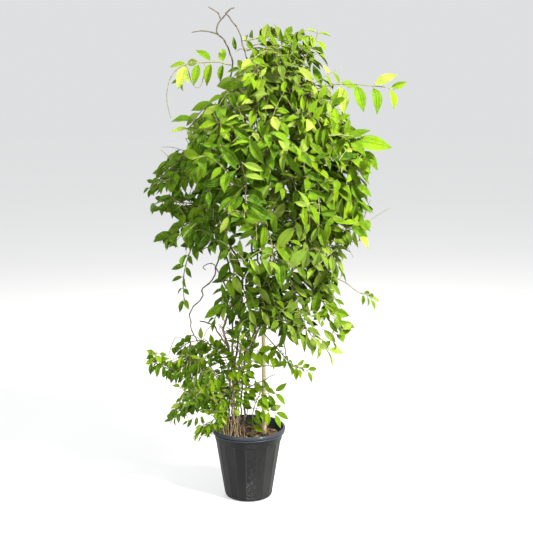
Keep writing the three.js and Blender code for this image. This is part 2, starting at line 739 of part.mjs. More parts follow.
// One leaf's outline: it grows from the side of its node, hangs a little and turns its face outwards
function leafPlaces(node, hand, turn, size, key, seed) {
  const outward = node.side.clone().multiplyScalar(hand);
  const sweep = node.sweep + turn[0] + draw(-10, 10, seed, key, 1);
  const twist = turn[1] + draw(-14, 14, seed, key, 2);
  const sag = node.sag + turn[2] + draw(-0.2, 0.3, seed, key, 3);
  const length = size * turn[3] * draw(0.88, 1.08, seed, key, 4);
  const fold = draw(0.14, 0.32, seed, key, 5);
  const arch = draw(0.06, 0.24, seed, key, 6);

  const jitter = [7, 8, 9].map((which) => draw(-0.4, 0.4, seed, key, which));
  const face = node.face.clone().add(vector(jitter)).normalize();
  const lead = turned(outward, node.heading, sweep).addScaledVector(UP, -sag);
  const axis = lead.addScaledVector(face, -lead.dot(face)).normalize();
  const normal = turned(face, face.clone().cross(axis), twist);
  const width = normal.clone().cross(axis);

  const stalk = Math.max(STALK_LEAST, length * STALK_SHARE);
  const base = node.centre.clone()
    .addScaledVector(outward, node.radius / 2 + STALK_ROOT)
    .addScaledVector(axis, stalk);
  const blade = length - stalk;
  const half = (length * LEAF_WIDTH) / 2;
  const spine = (share) => base.clone()
    .addScaledVector(axis, blade * share)
    .addScaledVector(normal, -arch * blade * share * share);
  const edges = OUTLINE.map(([share, wide]) => [1, -1].map((way) => spine(share)
    .addScaledVector(width, way * half * wide)
    .addScaledVector(normal, fold * half * wide)));
  const middle = spine(RIB_BEND);
  const faces = [1, -1].map((way) => middle.clone().addScaledVector(normal, (way * LEAF_THICKNESS) / 2));
  return { base, edges, middle, faces, tip: spine(1) };
}

// Points over a blade's middle surface, close enough together to find a neighbour
function bladeSamples({ base, edges, middle, tip }) {
  const points = [];
  [0, 1].forEach((hand) => {
    const outline = [base, edges[0][hand], edges[1][hand], tip];
    for (let corner = 1; corner < outline.length; corner += 1) {
      const [a, b, c] = [outline[corner - 1], outline[corner], middle];
      const longest = Math.max(a.distanceTo(b), b.distanceTo(c), c.distanceTo(a));
      const count = Math.max(1, Math.ceil(longest / SAMPLE_STEP));
      for (let i = 0; i <= count; i += 1) {
        for (let j = 0; j <= count - i; j += 1) {
          points.push(a.clone().multiplyScalar((count - i - j) / count)
            .addScaledVector(b, i / count).addScaledVector(c, j / count));
        }
      }
    }
  });
  return points;
}

const taken = new Map();
const cellOf = (point) => [point.x, point.y, point.z].map((value) => Math.floor(value / CELL));

function take(point) {
  const cell = cellOf(point).join(' ');
  if (!taken.has(cell)) taken.set(cell, []);
  taken.get(cell).push(point);
}

function nearTaken(point) {
  const [cx, cy, cz] = cellOf(point);
  for (let x = cx - 1; x <= cx + 1; x += 1) {
    for (let y = cy - 1; y <= cy + 1; y += 1) {
      for (let z = cz - 1; z <= cz + 1; z += 1) {
        const found = taken.get(`${x} ${y} ${z}`) ?? [];
        if (found.some((other) => other.distanceTo(point) < LEAF_CLEARANCE)) return true;
      }
    }
  }
  return false;
}

function nearPot(point) {
  const reach = Math.hypot(point.x, point.y);
  if (point.z < SOIL_TOP + SOIL_BUMP + POT_CLEARANCE) return true;
  if (point.z > POT_HEIGHT + POT_CLEARANCE) return false;
  return reach > innerRadius(point.z) - POT_CLEARANCE && reach < RIM_RADIUS + POT_CLEARANCE;
}

const onRod = new THREE.Vector3();

function clear(leaf, node, owner) {
  const box = new THREE.Box3().setFromPoints(leaf.samples).expandByScalar(LOOK_AROUND);
  const rods = capsules.filter(({ rod }) => {
    const reach = new THREE.Box3().setFromPoints([rod.start, rod.end]);
    return reach.intersectsBox(box);
  });
  return leaf.samples.every((point) => {
    if (nearPot(point) || nearTaken(point)) return false;
    const atNode = point.distanceTo(node.centre) < NODE_REACH;
    return rods.every(({ rod, radius, owner: rodOwner }) => {
      rod.closestPointToPoint(point, true, onRod);
      const room = rodOwner === owner && atNode ? NODE_CLEARANCE : STEM_CLEARANCE;
      return onRod.distanceTo(point) > radius + room;
    });
  });
}

// A shoot is seated on the flat stretch of its stem that lies nearest its first point
function shootRoute(shoot) {
  if (shoot.root) return new Route(rooted(...shoot.root, shoot.points));
  const rings = stems[shoot.on];
  const aim = vector(shoot.points[0]);
  const seats = rings.slice(1).map((upper, index) => {
    const lower = rings[index];
    const chord = new THREE.Line3(lower.centre, upper.centre);
    const share = Math.min(0.8, Math.max(0.2, chord.closestPointToPointParameter(aim, true)));
    return { lower, upper, share, centre: chord.at(share, new THREE.Vector3()) };
  });
  const seat = seats.reduce((best, next) =>
    (next.centre.distanceTo(aim) < best.centre.distanceTo(aim) ? next : best));
  const heading = seat.upper.centre.clone().sub(seat.lower.centre).normalize();
  if (shoot.branch) return new Route([seat.centre.toArray(), ...shoot.points]);
  const out = aim.clone().sub(seat.centre);
  out.addScaledVector(heading, -out.dot(heading)).normalize();
  const reach = seat.lower.places.map((low, corner) =>
    low.clone().lerp(seat.upper.places[corner], seat.share).sub(seat.centre).dot(out));
  const start = seat.centre.clone().addScaledVector(out, Math.max(...reach) + SEAT_GAP);
  const step = start.clone().addScaledVector(out, SEAT_STEP);
  return new Route([start.toArray(), step.toArray(), ...shoot.points]);
}

function shootNodes(shoot, route) {
  const nodes = [];
  const last = Math.min(shoot.last ?? Infinity, route.length - HOLD_BACK);
  const pitch = shoot.pitch * (shoot.every ?? 1);
  for (let distance = shoot.first; distance <= last; distance += pitch) nodes.push(distance);
  if (last - nodes.at(-1) > pitch * 0.7) nodes.push(last);
  return nodes;
}

function shootStations(shoot, route, radii) {
  const stations = [{ distance: 0 }];
  const fill = (until) => {
    const from = stations.at(-1).distance;
    const between = until - from > BUD_LENGTH ? spread(from, until, SHOOT_STEP).slice(0, -1) : [];
    between.forEach((distance) => stations.push({ distance }));
  };
  const nodes = shootNodes(shoot, route);
  nodes.forEach((distance, order) => {
    fill(distance - NODE_LENGTH / 2);
    const last = distance === nodes.at(-1);
    stations.push({ distance: distance - NODE_LENGTH / 2, leaves: order + 1, last });
    stations.push({ distance: distance + NODE_LENGTH / 2 });
  });
  if (route.length - nodes.at(-1) > BARE_END) {
    fill(route.length - BUD_LENGTH);
    stations.push({ distance: route.length - BUD_LENGTH });
  }
  return stations.map((station) => {
    const radius = radii[0] + ((radii[1] - radii[0]) * station.distance) / route.length;
    return { ...station, radius, centre: route.at(station.distance) };
  });
}

const shoots = SHOOTS.map((shoot, index) => {
  const route = shootRoute(shoot);
  const radius = shoot.radius ?? (shoot.branch ? BRANCH_RADIUS : SHOOT_RADIUS);
  const radii = [radius, shoot.last ? BARE_TIP_RADIUS : SHOOT_TIP_RADIUS];
  const stations = shootStations(shoot, route, radii);
  stems[shoot.name] = stations;
  noteStem(shoot.branch ? shoot.on : shoot.name, stations);
  return { ...shoot, route, radii, stations, seed: index + 1 };
});

// Which way the leaves face: as the shoot says, or out from the crown's axis and up
function facing(shoot, centre) {
  if (shoot.face) return vector(shoot.face);
  const away = new THREE.Vector3(centre.x - CROWN_AXIS.x, centre.y - CROWN_AXIS.y, 0).normalize();
  return away.multiplyScalar(FACE_OUT).addScaledVector(UP, FACE_UP);
}

// A leaf in the first of its turns that keeps clear of all that has grown so far, or none
function growLeaf(shoot, station, node, hand) {
  const size = shoot.leaf * (station.distance > shoot.route.length * TIP_STRETCH ? TIP_LEAF : 1);
  const key = station.leaves * 2 + (hand > 0 ? 0 : 1);
  const owner = shoot.branch ? shoot.on : shoot.name;
  return TURNS.reduce((found, turn) => {
    if (found) return found;
    const leaf = leafPlaces(node, hand, turn, size, key, shoot.seed);
    leaf.samples = bladeSamples(leaf);
    if (!clear(leaf, node, owner)) return null;
    leaf.samples.forEach(take);
    return leaf;
  }, null);
}

function shootGeometry(shoot) {
  const { route, stations } = shoot;
  const shell = new Shell();
  let side = null;
  let before = null;
  let pending = null;
  stations.forEach((station) => {
    const { centre, radius } = station;
    const heading = route.heading(station.distance);
    const face = facing(shoot, centre);
    side = across(heading, side, face);
    const up = side.clone().cross(heading);
    const ring = shell.ring([90, -30, -150].map((degrees) => centre.clone()
      .addScaledVector(side, radius * Math.cos(radians(degrees)))
      .addScaledVector(up, radius * Math.sin(radians(degrees)))));
    if (before) shell.band(before, ring, pending ? pending.skip : []);
    else shell.cap([...ring].reverse());
    if (pending) pending.grow(ring);
    pending = null;
    if (station.leaves) {
      const node = {
        centre: route.at(station.distance + NODE_LENGTH / 2),
        heading,
        side: side.clone(),
        radius,
        face: face.normalize(),
        sag: shoot.sag ?? SAG,
        sweep: station.last ? END_SWEEP : SIDE_SWEEP,
      };
      pending = leafBands(shell, ring, [1, -1].map((hand) => growLeaf(shoot, station, node, hand)));
    }
    before = ring;
  });
  shell.fan(before, route.at(Math.min(stations.at(-1).distance + BUD_LENGTH, route.length)));
  return shell.geometry();
}

// A leaf grows from one upper side of its stem's node, in place of that side's square
function leafBands(shell, lower, grown) {
  const sides = [0, 2];
  const skip = sides.filter((_, index) => grown[index]);
  return {
    skip,
    grow(upper) {
      sides.forEach((side, index) => {
        if (!grown[index]) return;
        const next = (side + 1) % lower.length;
        blade(shell, [lower[side], lower[next], upper[next], upper[side]], grown[index]);
      });
    },
  };
}

// Both faces of a blade are split along the same lines, which all start at its edges
function blade(shell, square, { edges, faces, tip }) {
  const [right, left, right2, left2, top, under] = shell.ring([...edges.flat(), ...faces]);
  const near = [right, top, left, under];
  const starts = square.map((_, start) => [...square.slice(start), ...square.slice(0, start)]);
  const stretch = (start) => start.reduce((sum, corner, index) =>
    sum + shell.corners[corner].distanceToSquared(shell.corners[near[index]]), 0);
  const [a, b, c, d] = starts.reduce((best, start) => (stretch(start) < stretch(best) ? start : best));
  shell.faces.push(
    [a, b, top], [a, top, right], [b, c, top], [c, left, top],
    [c, d, under], [c, under, left], [d, a, under], [a, right, under],
    [right, top, right2], [left, left2, top], [left, under, left2], [right, right2, under],
  );
  shell.fan([right2, top, left2, under], tip);
}

// A branch is joined to the shoot that it grows from
shoots.filter((shoot) => !shoot.branch).forEach((shoot) => {
  const geometry = shootGeometry(shoot);
  const branches = shoots.filter((other) => other.branch && other.on === shoot.name);
  const whole = branches.reduce((body, branch) => body.add(solid(shootGeometry(branch))), solid(geometry));
  place(shoot.name, branches.length ? faceted(whole) : geometry, material(shoot.colour, 0.5));
});

// Potting mix: a bumpy top, the pot's inner shape below, and a plain hole for each stem and the cane
function soilGeometry() {
  const shell = new Shell();
  const circle = (radius, height) => Array.from({ length: SOIL_SECTORS }, (_, sector) => {
    const angle = (sector / SOIL_SECTORS) * 2 * Math.PI;
    const x = radius * Math.cos(angle);
    const y = radius * Math.sin(angle);
    return new THREE.Vector3(x, y, height(x, y));
  });
  const top = (x, y) => SOIL_TOP + SOIL_BUMP * Math.sin(x / 13 + 1) * Math.cos(y / 11 + x / 29);
  const inner = (height) => (innerRadius(height) - GAP) * Math.cos(Math.PI / SOIL_SECTORS) - SOIL_SLACK;
  const low = shell.ring(circle(inner(FLOOR), () => FLOOR + GAP));
  const rings = [low, shell.ring(circle(inner(SOIL_TOP), () => SOIL_TOP - SOIL_SHOULDER))];
  [...SOIL_RINGS].reverse().forEach((radius) => rings.push(shell.ring(circle(radius, top))));
  for (let index = 1; index < rings.length; index += 1) shell.band(rings[index - 1], rings[index]);
  shell.fan([...low].reverse(), new THREE.Vector3(0, 0, FLOOR + GAP));
  shell.fan(rings.at(-1), new THREE.Vector3(0, 0, SOIL_TOP));
  let body = solid(shell.geometry());

  const drill = (radius, x, y, bottom, lean) => {
    const depth = SOIL_TOP + HOLE_HEADROOM - bottom;
    const hole = new THREE.CylinderGeometry(radius, radius, depth, HOLE_SIDES).rotateX(Math.PI / 2);
    hole.translate(0, 0, depth / 2);
    hole.applyQuaternion(new THREE.Quaternion().setFromUnitVectors(UP, lean));
    hole.translate(x, y, bottom);
    body = body.subtract(solid(hole));
  };
  const around = 1 / Math.cos(Math.PI / HOLE_SIDES);
  const lean = stakeAxis.delta(new THREE.Vector3()).normalize();
  const [footX, footY, footZ] = STAKE_FOOT;
  drill((STAKE_RADIUS + GAP) * around, footX, footY, footZ - GAP, lean);
  Object.values(CANES).forEach(({ radii, points }) => {
    drill((radii[0] + GAP) * around, points[0][0], points[0][1], ROOT_DEPTH - GAP, UP);
  });
  shoots.filter((shoot) => shoot.root).forEach(({ radii, root }) => {
    drill((radii[0] + GAP) * around, root[0], root[1], ROOT_DEPTH - GAP, UP);
  });
  return faceted(body);
}

place('soil', soilGeometry(), material('soil', 0.95));

export default plant;
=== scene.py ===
"""Potted rangoon creeper: the finish of the pot, its potting mix, canes, shoots and leaves.

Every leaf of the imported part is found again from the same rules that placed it, and gets a finer blade.
More leaves and side twigs of the same kind fill the crown where nothing stands in their way.
"""

import math
import random

import bmesh
import bpy
import numpy as np
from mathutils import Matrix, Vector
from mathutils.kdtree import KDTree


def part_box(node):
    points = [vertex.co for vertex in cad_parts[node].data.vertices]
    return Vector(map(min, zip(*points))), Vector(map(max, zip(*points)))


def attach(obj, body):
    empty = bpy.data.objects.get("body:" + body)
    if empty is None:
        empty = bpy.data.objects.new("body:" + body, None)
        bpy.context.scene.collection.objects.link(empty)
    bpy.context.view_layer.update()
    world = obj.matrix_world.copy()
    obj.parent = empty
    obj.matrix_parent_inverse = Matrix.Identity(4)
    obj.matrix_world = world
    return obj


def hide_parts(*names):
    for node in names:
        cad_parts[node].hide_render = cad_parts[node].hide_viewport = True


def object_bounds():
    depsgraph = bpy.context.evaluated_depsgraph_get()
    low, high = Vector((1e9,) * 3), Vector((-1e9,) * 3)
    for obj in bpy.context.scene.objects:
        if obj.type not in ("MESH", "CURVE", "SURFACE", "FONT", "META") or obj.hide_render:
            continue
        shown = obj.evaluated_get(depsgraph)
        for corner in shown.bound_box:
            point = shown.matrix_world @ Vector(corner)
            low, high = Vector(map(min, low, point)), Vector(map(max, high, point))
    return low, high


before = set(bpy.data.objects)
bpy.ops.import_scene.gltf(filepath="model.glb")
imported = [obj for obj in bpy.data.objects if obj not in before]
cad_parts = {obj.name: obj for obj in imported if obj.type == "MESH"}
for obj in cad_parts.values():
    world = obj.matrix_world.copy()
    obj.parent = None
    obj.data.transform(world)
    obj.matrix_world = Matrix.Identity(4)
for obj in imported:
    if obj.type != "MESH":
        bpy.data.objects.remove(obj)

bl_info = {
    "name": "Potted Creeper",
    "version": (1, 0, 0),
    "blender": (4, 5, 0),
    "location": "View3D > Sidebar > Creeper",
    "description": "Finishes a potted climbing plant: pot, potting mix, bamboo, bark, leaves and studio",
    "category": "Add Mesh",
}

# The pot, the chips, the stage and the pieces are measured in metres, the plant and its routes in
# millimetres.
MM = 0.001
UP = np.array([0.0, 0.0, 1.0])
BODY = "root"
# Corners of a mesh nearer than this are taken as one
CLOSE = 1e-4
CAD_LOW, CAD_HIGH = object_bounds()

# Pot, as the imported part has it
POT_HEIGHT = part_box("pot")[1].z
RIM_RADIUS = 0.140
BASE_RADIUS = 0.091
CORNER_RADIUS = 0.012
LIP_HEIGHT = 0.012
LIP_OVERHANG = 0.008
COLLAR_HEIGHT = 0.034
COLLAR_STEP = 0.0016
WALL = 0.003
FLOOR = 0.004
PANEL_COUNT = 18
PANEL_STEP = 0.0014
PANEL_TURN = 6
RISER_HEIGHT = 0.003

# Bamboo cane and potting mix, in millimetres as the routes are
SOIL_TOP = 234
SOIL_BUMP = 4
STAKE_RADIUS = 8
STAKE_FOOT = np.array([61.5, 0, 40])
STAKE_TOP = np.array([50.0, 0, 1550])
STAKE_NODES = [395, 672, 1195]
STAKE_SAMPLES = 300

# Stems and shoots, in millimetres
ROOT_DEPTH = 185
ABOVE_SOIL = 246
UPRIGHT = 30
STEM_SIDES = 6
STEM_STEP = 96
STEPS_PER_SPAN = 24
SHOOT_RADIUS = 2.6
BRANCH_RADIUS = 1.7
SHOOT_TIP_RADIUS = 1.6
BARE_TIP_RADIUS = 1.3
SEAT_GAP = 0.3
SEAT_STEP = 14
NODE_LENGTH = 5
SHOOT_STEP = 52
BUD_LENGTH = 8
HOLD_BACK = 6
BARE_END = 20

# Leaves: lengths as shares of the leaf's own, turns in degrees
LEAF_WIDTH = 0.46
STALK_SHARE = 0.08
STALK_LEAST = 4
STALK_ROOT = 2
SIDE_SWEEP = 22
END_SWEEP = 48
SAG = 0.45
FACE_OUT = 0.75
FACE_UP = 0.55
TIP_STRETCH = 0.8
TIP_LEAF = 0.86
CROWN_AXIS = np.array([40.0, 0.0])
# Ways a leaf may turn, tried in this order: changes of its sweep, twist and sag, and its size
TURNS = [
    (0, 0, 0, 1), (18, 10, 0.15, 1), (-18, -10, -0.15, 1), (8, 24, 0.3, 0.95), (-8, -24, -0.3, 0.95),
    (30, 0, 0.5, 0.9), (-26, 14, 0.6, 0.9), (0, 40, 0, 0.85), (0, -40, 0.4, 0.85), (10, 0, 0.9, 0.7),
]
FRONT_LEFT = (-0.45, -0.75, 0.5)
FRONT_RIGHT = (0.45, -0.75, 0.5)

# Stems of the finish, in millimetres: how close their samples are, and how their nodes swell
SAMPLE_STEP = 6
NODE_SWELL = 0.4
NODE_SPREAD = 2.6
TIP_NARROWING = 0.3
BEND_EASE = 25
# Bends that a smooth route leaves out: length of a wave and its height
BENDS = ((91, 1), (43, 0.5), (19, 0.2))
BEND_SHARES = (1, 1, 0.3)

# Rows of the leaf that all others are copied from: share of its length, and of its half width
LEAF_ROWS = [
    (0, 0.07), (0.06, 0.36), (0.18, 0.76), (0.37, 0.98), (0.57, 0.92), (0.75, 0.6), (0.9, 0.22), (1, 0),
]
LEAF_COLUMNS = 4
# What a leaf's own shape is drawn from: number of the draw, lowest and highest value
LEAF_SHAPE = {
    "fold": (5, 0.14, 0.32), "arch": (6, 0.06, 0.24), "wave": (10, 0.1, 0.4), "phase": (11, 0, 1),
    "bend": (12, -0.1, 0.1), "tint": (13, 0, 1),
}
SEEN_SHAPE = {
    "fold": (6, 0.2, 0.42), "arch": (7, 0.02, 0.14), "wave": (8, 0.1, 0.4), "phase": (9, 0, 1),
    "bend": (10, -0.12, 0.12), "tint": (11, 0.25, 1),
}
LEAF_THICKNESS = 0.009
LEAF_SLIMNESS = 0.88
LEAF_FOLD = 1.9
CROWN_GROWTH = (1.0, 1.32)
BUSH_GROWTH = (1.1, 1.35)
EDGE_WAVE = 0.05
STALK_RADIUS = 1.1
STALK_TAPER = (1.25, 1, 0.85, 0.4)

# Room for the leaves and twigs that fill the crown, in millimetres. Shoots with leaves up to ROW_LEAF keep
# them in rows.
CROWD_CELL = 9
LEAF_ROOM = 6.5
ROW_ROOM = 2.5
ROW_LEAF = 52
TWIG_ROOM = 5
FILL_REACH = 75
OUTLINE_REACH = 6
NECK_REACH = 2
NECK_HEIGHT = 1350
BUSH_HEIGHT = 640
BUSH_REACH = 14
OPEN_SHOOTS = [
    "runner_right", "vine_right_low", "vine_left_hanging", "spray_centre_low", "vine_stake_right",
    "sprout_stake", "shoot_top_right",
]
ROW_SHOOTS = ["arch_left", "arch_top", "spray_right_long", "spray_left_fine", "spray_left_low"]
FOUND = 0.2
POT_ROOM = 6
POT_KEEP = 150
# Twigs are sized for leaves of TWIG_LEAF; their directions are shares of those of the node they grow from
TWIG_TRIES = 4
TWIG_LEAF = 80
TWIG_REACH = (70, 160)
TWIG_SIDE = (0.3, 1)
TWIG_FORWARD = (0.2, 0.8)
TWIG_FACE = (-0.4, 1)
TWIG_LIFT = (-0.2, 0.8)
ROW_LIFT = (-0.2, 0.1)
TWIG_DROP = (0.05, 0.4)
TWIG_POINTS = (0, 0.35, 0.7, 1)
TWIG_ROOT = 15
TWIG_FIRST = 24
TWIG_PITCH = 36
TWIG_RADIUS = 1.4
TWIG_TIP_RADIUS = 0.8
TWIG_SIZES = (0.88, 1.14)
TWIG_TAPER = 0.2
TWIG_SWEEP = 30
BETWEEN_SWEEP = 35
BETWEEN_SIZE = 1.02
SPRIG_SWEEP = 25
FILL_SAG = (-0.6, 0.5)
ROW_SAG = 0.4
SPRIG_RADII = (1.6, 0.9)
SPRIG_BENDS = 1.2
SPRIG_NODE = 1.2
FILL_RISE = 0.6
TWIG_RISE = 0.2
SPRIG_FACE = (0, -0.8, 0)
# Points of a leaf that are tested: height and half width of each row, as shares
PROBE_ROWS = [(0.82, 0.5), (0.7, 0.75), (0.58, 0.9), (0.46, 1), (0.34, 0.94), (0.22, 0.8), (0.1, 0.5)]
PROBES = np.array(
    [(0.0, 1.0, 0.0), (0.0, 0.92, 0.0)]
    + [(x * width, y, 0.0) for y, width in PROBE_ROWS for x in (0, -1, 1, -0.5, 0.5)]
)
OUTLINE_PROBES = [0, 2, 13, 14, 17, 27]

# Painted shade: leaves are dark from INNER_SHARE of the way out of the crown, and bright from OUTER_SHARE on
CROWN_DEPTH = 300
INNER_SHARE = 0.6
OUTER_SHARE = 1.0
# Height, left and right of the dense crown as the camera sees it, in millimetres
CROWN_OUTLINE = np.array([
    (650, 60, 290), (718, 0, 305), (793, -60, 325), (869, -100, 346), (943, -112, 356),
    (1010, -150, 381), (1091, -190, 416), (1164, -205, 437), (1254, -200, 435), (1326, -197, 412),
    (1387, -171, 375), (1444, -142, 350), (1504, -70, 324), (1557, -55, 312), (1679, -8, 251),
])

# Camera, and leaves placed by sight, in millimetres: how far they stand before the others, how clear they
# are kept, and the ranges that their places and turns are drawn from
PICTURE_WIDTH = 533
LENS = 67.0
SENSOR = 36.0
FRONT_SEARCH = 32
FRONT_GAP = 9
FRONT_STAGGER = 4
FRONT_KEEP = 18
SIGHT_ROOM = 6
SEEN_FOOT = (-5, 5)
SEEN_TIP = (-5, 9)
SEEN_TURN = (-0.9, 0.9)
SEEN_RISE = (-0.2, 1)
SEEN_HALF = (0.18, 0.225)
SEEN_BOW = (0.12, 0.15)
SEEN_BENDS = 0.8

# Ages run from 0, young and bright, to 1, old and dark. They fall to the right and upwards from
# AGE_AND_LIGHT_PLACE, by AGE_AND_LIGHT_FALLS over AGE_AND_LIGHT_SPANS: partly age, partly painted light that
# makes the lit upper right lighter. The neck is younger and painted lighter, the left sprays are painted
# lighter, the old shoots older.
AGES = {"b": 0.2, "m": 0.68, "d": 1.0, "p": 0.35}
CROWN_AGE = 0.98
BUSH_AGE = 0.06
AGE_AND_LIGHT_PLACE = (-100, 700)
AGE_AND_LIGHT_SPANS = (500, 1000)
AGE_AND_LIGHT_FALLS = (0.6, 0.5)
AGE_SPREAD = 0.8
NECK_YOUTH_AND_LIGHT = 0.62
LEFT_SPRAYS = -130
LEFT_PAINTED_LIGHT = 0.6
OLD_SHOOTS = ["runner_right", "arch_left"]
OLD_SHOOT_AGE = 0.55
# Shares of leaves painted pale, as washed out by light, in the neck and elsewhere
PALE_SHARES = (0.4, 0.1)

# Openings that the camera sees between the leaves: left, right, foot and head
OPENINGS = [(26, 80, 590, 712), (-210, -92, 600, 880)]

# Canes near the potting mix, their short spurs, and the thin stems in the clump, in millimetres
SPURS = 13
SPUR_HEIGHTS = (420, 760)
SPUR_LENGTHS = (22, 75)
SPUR_RADII = (1.9, 1.1)
KNOT_STEP = 70
TWIG_KNOT_STEP = 34
CANE_BENDS = 1.6
TWIG_BENDS = 2.2
SPUR_BENDS = 1.2
SLIM_HEIGHTS = (300, 560)
SLIM_FOOT = 0.6
CLUMP_STEMS = 22
CLUMP_CENTRE = (-62, -10)
CLUMP_REACH = 54
CLUMP_HEIGHTS = (70, 330)
CLUMP_LEAN = (-0.75, 0.15)
CLUMP_DEPTH = (-0.3, 0.25)
CLUMP_SPREAD = 0.8
CLUMP_SIZES = (0.7, 1.25)
CLUMP_KNOT_STEP = 28
CLUMP_BENDS = 2.6
CLUMP_TOPS = (0.9, 1.05)
# Shares of a clump stem's lean and height that it has on its way up, and how far it may sway there
CLUMP_SHAPE = [(0.06, 0.25, 0), (0.4, 0.62, 9), (0.8, 0.88, 12)]
CLUMP_SPUR_LENGTHS = (25, 70)
WOUND_CANES = ["cane_left", "cane_front", "cane_side", "cane_right", "cane_back", "cane_front"]
WINDING_LENGTHS = (420, 640)
WINDING_STEP = 48
WINDING_REACH = (9, 17)
WINDING_RADII = (1.9, 1.0)
WINDING_BENDS = 1.5

# Bamboo: offset from a ring and how much thicker the cane is there, in millimetres
BAMBOO_RING = [(-9, 0), (-4, 0.5), (-1.6, 1.3), (0, 0.7), (1.2, -0.2), (2.6, 0.8), (5, 0.2), (9, 0)]

# Pot lip: inset from the rim's radius and rise from the lip's foot, in millimetres
LIP_PROFILE = [
    (5.4, -8.4), (3.2, -7.6), (2, -6.2), (1.6, -4.8), (2, -3.2), (3.4, -2), (5.2, -1.6), (5.2, -0.6),
    (2.6, -0.2), (1, 0.9), (0.2, 2.6), (0, 4.6), (0.2, 6.8), (0.9, 8.9), (2.2, 10.8), (4, 12),
]
POT_SIDES = 108
# Marks on the pot, in metres: its dotted panel, lighter lines at the panel edges, the rim with its
# painted highlight and the notches with their painted shade
STIPPLED_PANEL = 13
DOT_SCALE = 240.0
DOT_SIZES = (0.25, 0.15)
DOT_HEIGHTS = (0.05, 0.2)
PANEL_LINE_WIDTHS = (0.06, 0.025)
PANEL_LINE_HEAD = (0.2225, 0.2235)
RIM_HIGHLIGHT_FOOT = (0.2485, 0.2505)
NOTCH_WIDTHS = (3.4, 6.7)
NOTCH_SHELL = 0.0875
# Bark chips, in metres, and their shapes as shares of their length
MIX_RADIUS = 0.117
CHIP_LENGTHS = (0.007, 0.024)
CHIP_LIFT = (-0.001, 0.0035)
CHIP_SIZES = [(1, 0.5, 0.2), (0.9, 0.62, 0.3), (1.2, 0.34, 0.16), (0.8, 0.75, 0.24)]

# Look of the leaves: pairs of side veins and their slope, hue and value at both ends of the tints, value of
# the innermost ones, darkened as painted shade, width of the rib at the stalk and the tip
VEIN_COUNT = 8.0
VEIN_SLOPE = 1.7
LEAF_HUES = (0.485, 0.512)
LEAF_VALUES = (1.25, 0.75)
PAINTED_SHADE_VALUE = 0.34
RIB_WIDTHS = (0.2, 0.06)
LEAF_SHINE = 0.09
POT_SHINE = 0.14
VEIN_EDGES = (0.8, 0.96)
VEIN_ENDS = (1.0, 0.55)
# Painted light and shade of the quilting: value between the side veins and beside them
QUILT_PAINTED_SHADING = (1.16, 0.66)
PALE_EDGE = (0.93, 1.0)
LEAF_ROUGHNESS = (0.34, 0.5)
# Scales of the patterns, per metre, what they show of them, and at which heights
DRIFT_SCALE = 28.0
MOTTLE_SCALE = 130.0
BLOTCH_SCALE = 34.0
BLOTCH_EDGES = (0.56, 0.74)
STREAK_EDGES = (0.38, 0.62)
DARKER_HEIGHTS = (0.42, 0.8)
DUST_SCALE = 16.0
DUST_HEIGHTS = (0.0, 0.16)
SPECK_SCALE = 420.0
PLASTIC_GRAIN = 900.0
CHIP_GRAIN = 260.0
# Relief: strength, and depth in metres
LEAF_RELIEF = (0.8, 0.0012)
PLASTIC_RELIEF = (0.35, 0.0005)
CHIP_RELIEF = (0.8, 0.001)
GRAIN_DEPTH = 0.0008

# Colours
VEIN_COLOUR = (0.34, 0.5, 0.05, 1)
UNDERSIDE_COLOUR = (0.18, 0.33, 0.025, 1)
DUST_COLOUR = (0.16, 0.155, 0.145, 1)
DOT_COLOUR = (0.2, 0.205, 0.21, 1)
# Painted highlight on the lip, and painted light on the inner wall
RIM_PAINTED_LIGHT = (0.03, 0.036, 0.046, 1)
PANEL_LINE_COLOUR = (0.024, 0.025, 0.027, 1)
# Painted shade in the drainage notches
SLOT_PAINTED_SHADE = (0.002, 0.002, 0.002, 1)
CHIP_DARK = (0.016, 0.009, 0.007, 1)
CHIP_RED = (0.08, 0.04, 0.016, 1)
CHIP_LIGHT = (0.34, 0.22, 0.1, 1)
FLOOR_COLOURS = ((0.41, 0.41, 0.405, 1), (0.43, 0.43, 0.425, 1))
SKY_COLOUR = (0.98, 0.99, 1, 1)
SKY_STRENGTH = 0.75

# Stage, in metres
FLOOR_RADIUS = 30
FLOOR_GLOW = 0.395
CAMERA_PLACE = (0.068, -3.6, 1.5)
CAMERA_AIM = (0.068, 0, 0.8816)
LIGHT_AIM = (0.05, 0, 0.95)
# Lights: name, place, size and colour
LIGHTS = [
    ("key", (2.5, -2.1, 3.8), 0.8, (1.0, 0.97, 0.92)), ("fill", (-2.0, -2.6, 3.0), 1.6, (0.92, 0.96, 1.0)),
    ("rim", (-0.4, 2.7, 3.3), 1.6, (1.0, 0.98, 0.95)),
]


def unit(vector):
    return vector / np.linalg.norm(vector)


def cross(a, b):
    return np.array([a[1] * b[2] - a[2] * b[1], a[2] * b[0] - a[0] * b[2], a[0] * b[1] - a[1] * b[0]])


def draw(low, high, a, b=0, c=0):
    """A repeatable draw between low and high for whole-number keys."""
    wave = math.sin(a * 12.9898 + b * 78.233 + c * 37.719) * 43758.5453
    return low + (high - low) * (wave - math.floor(wave))


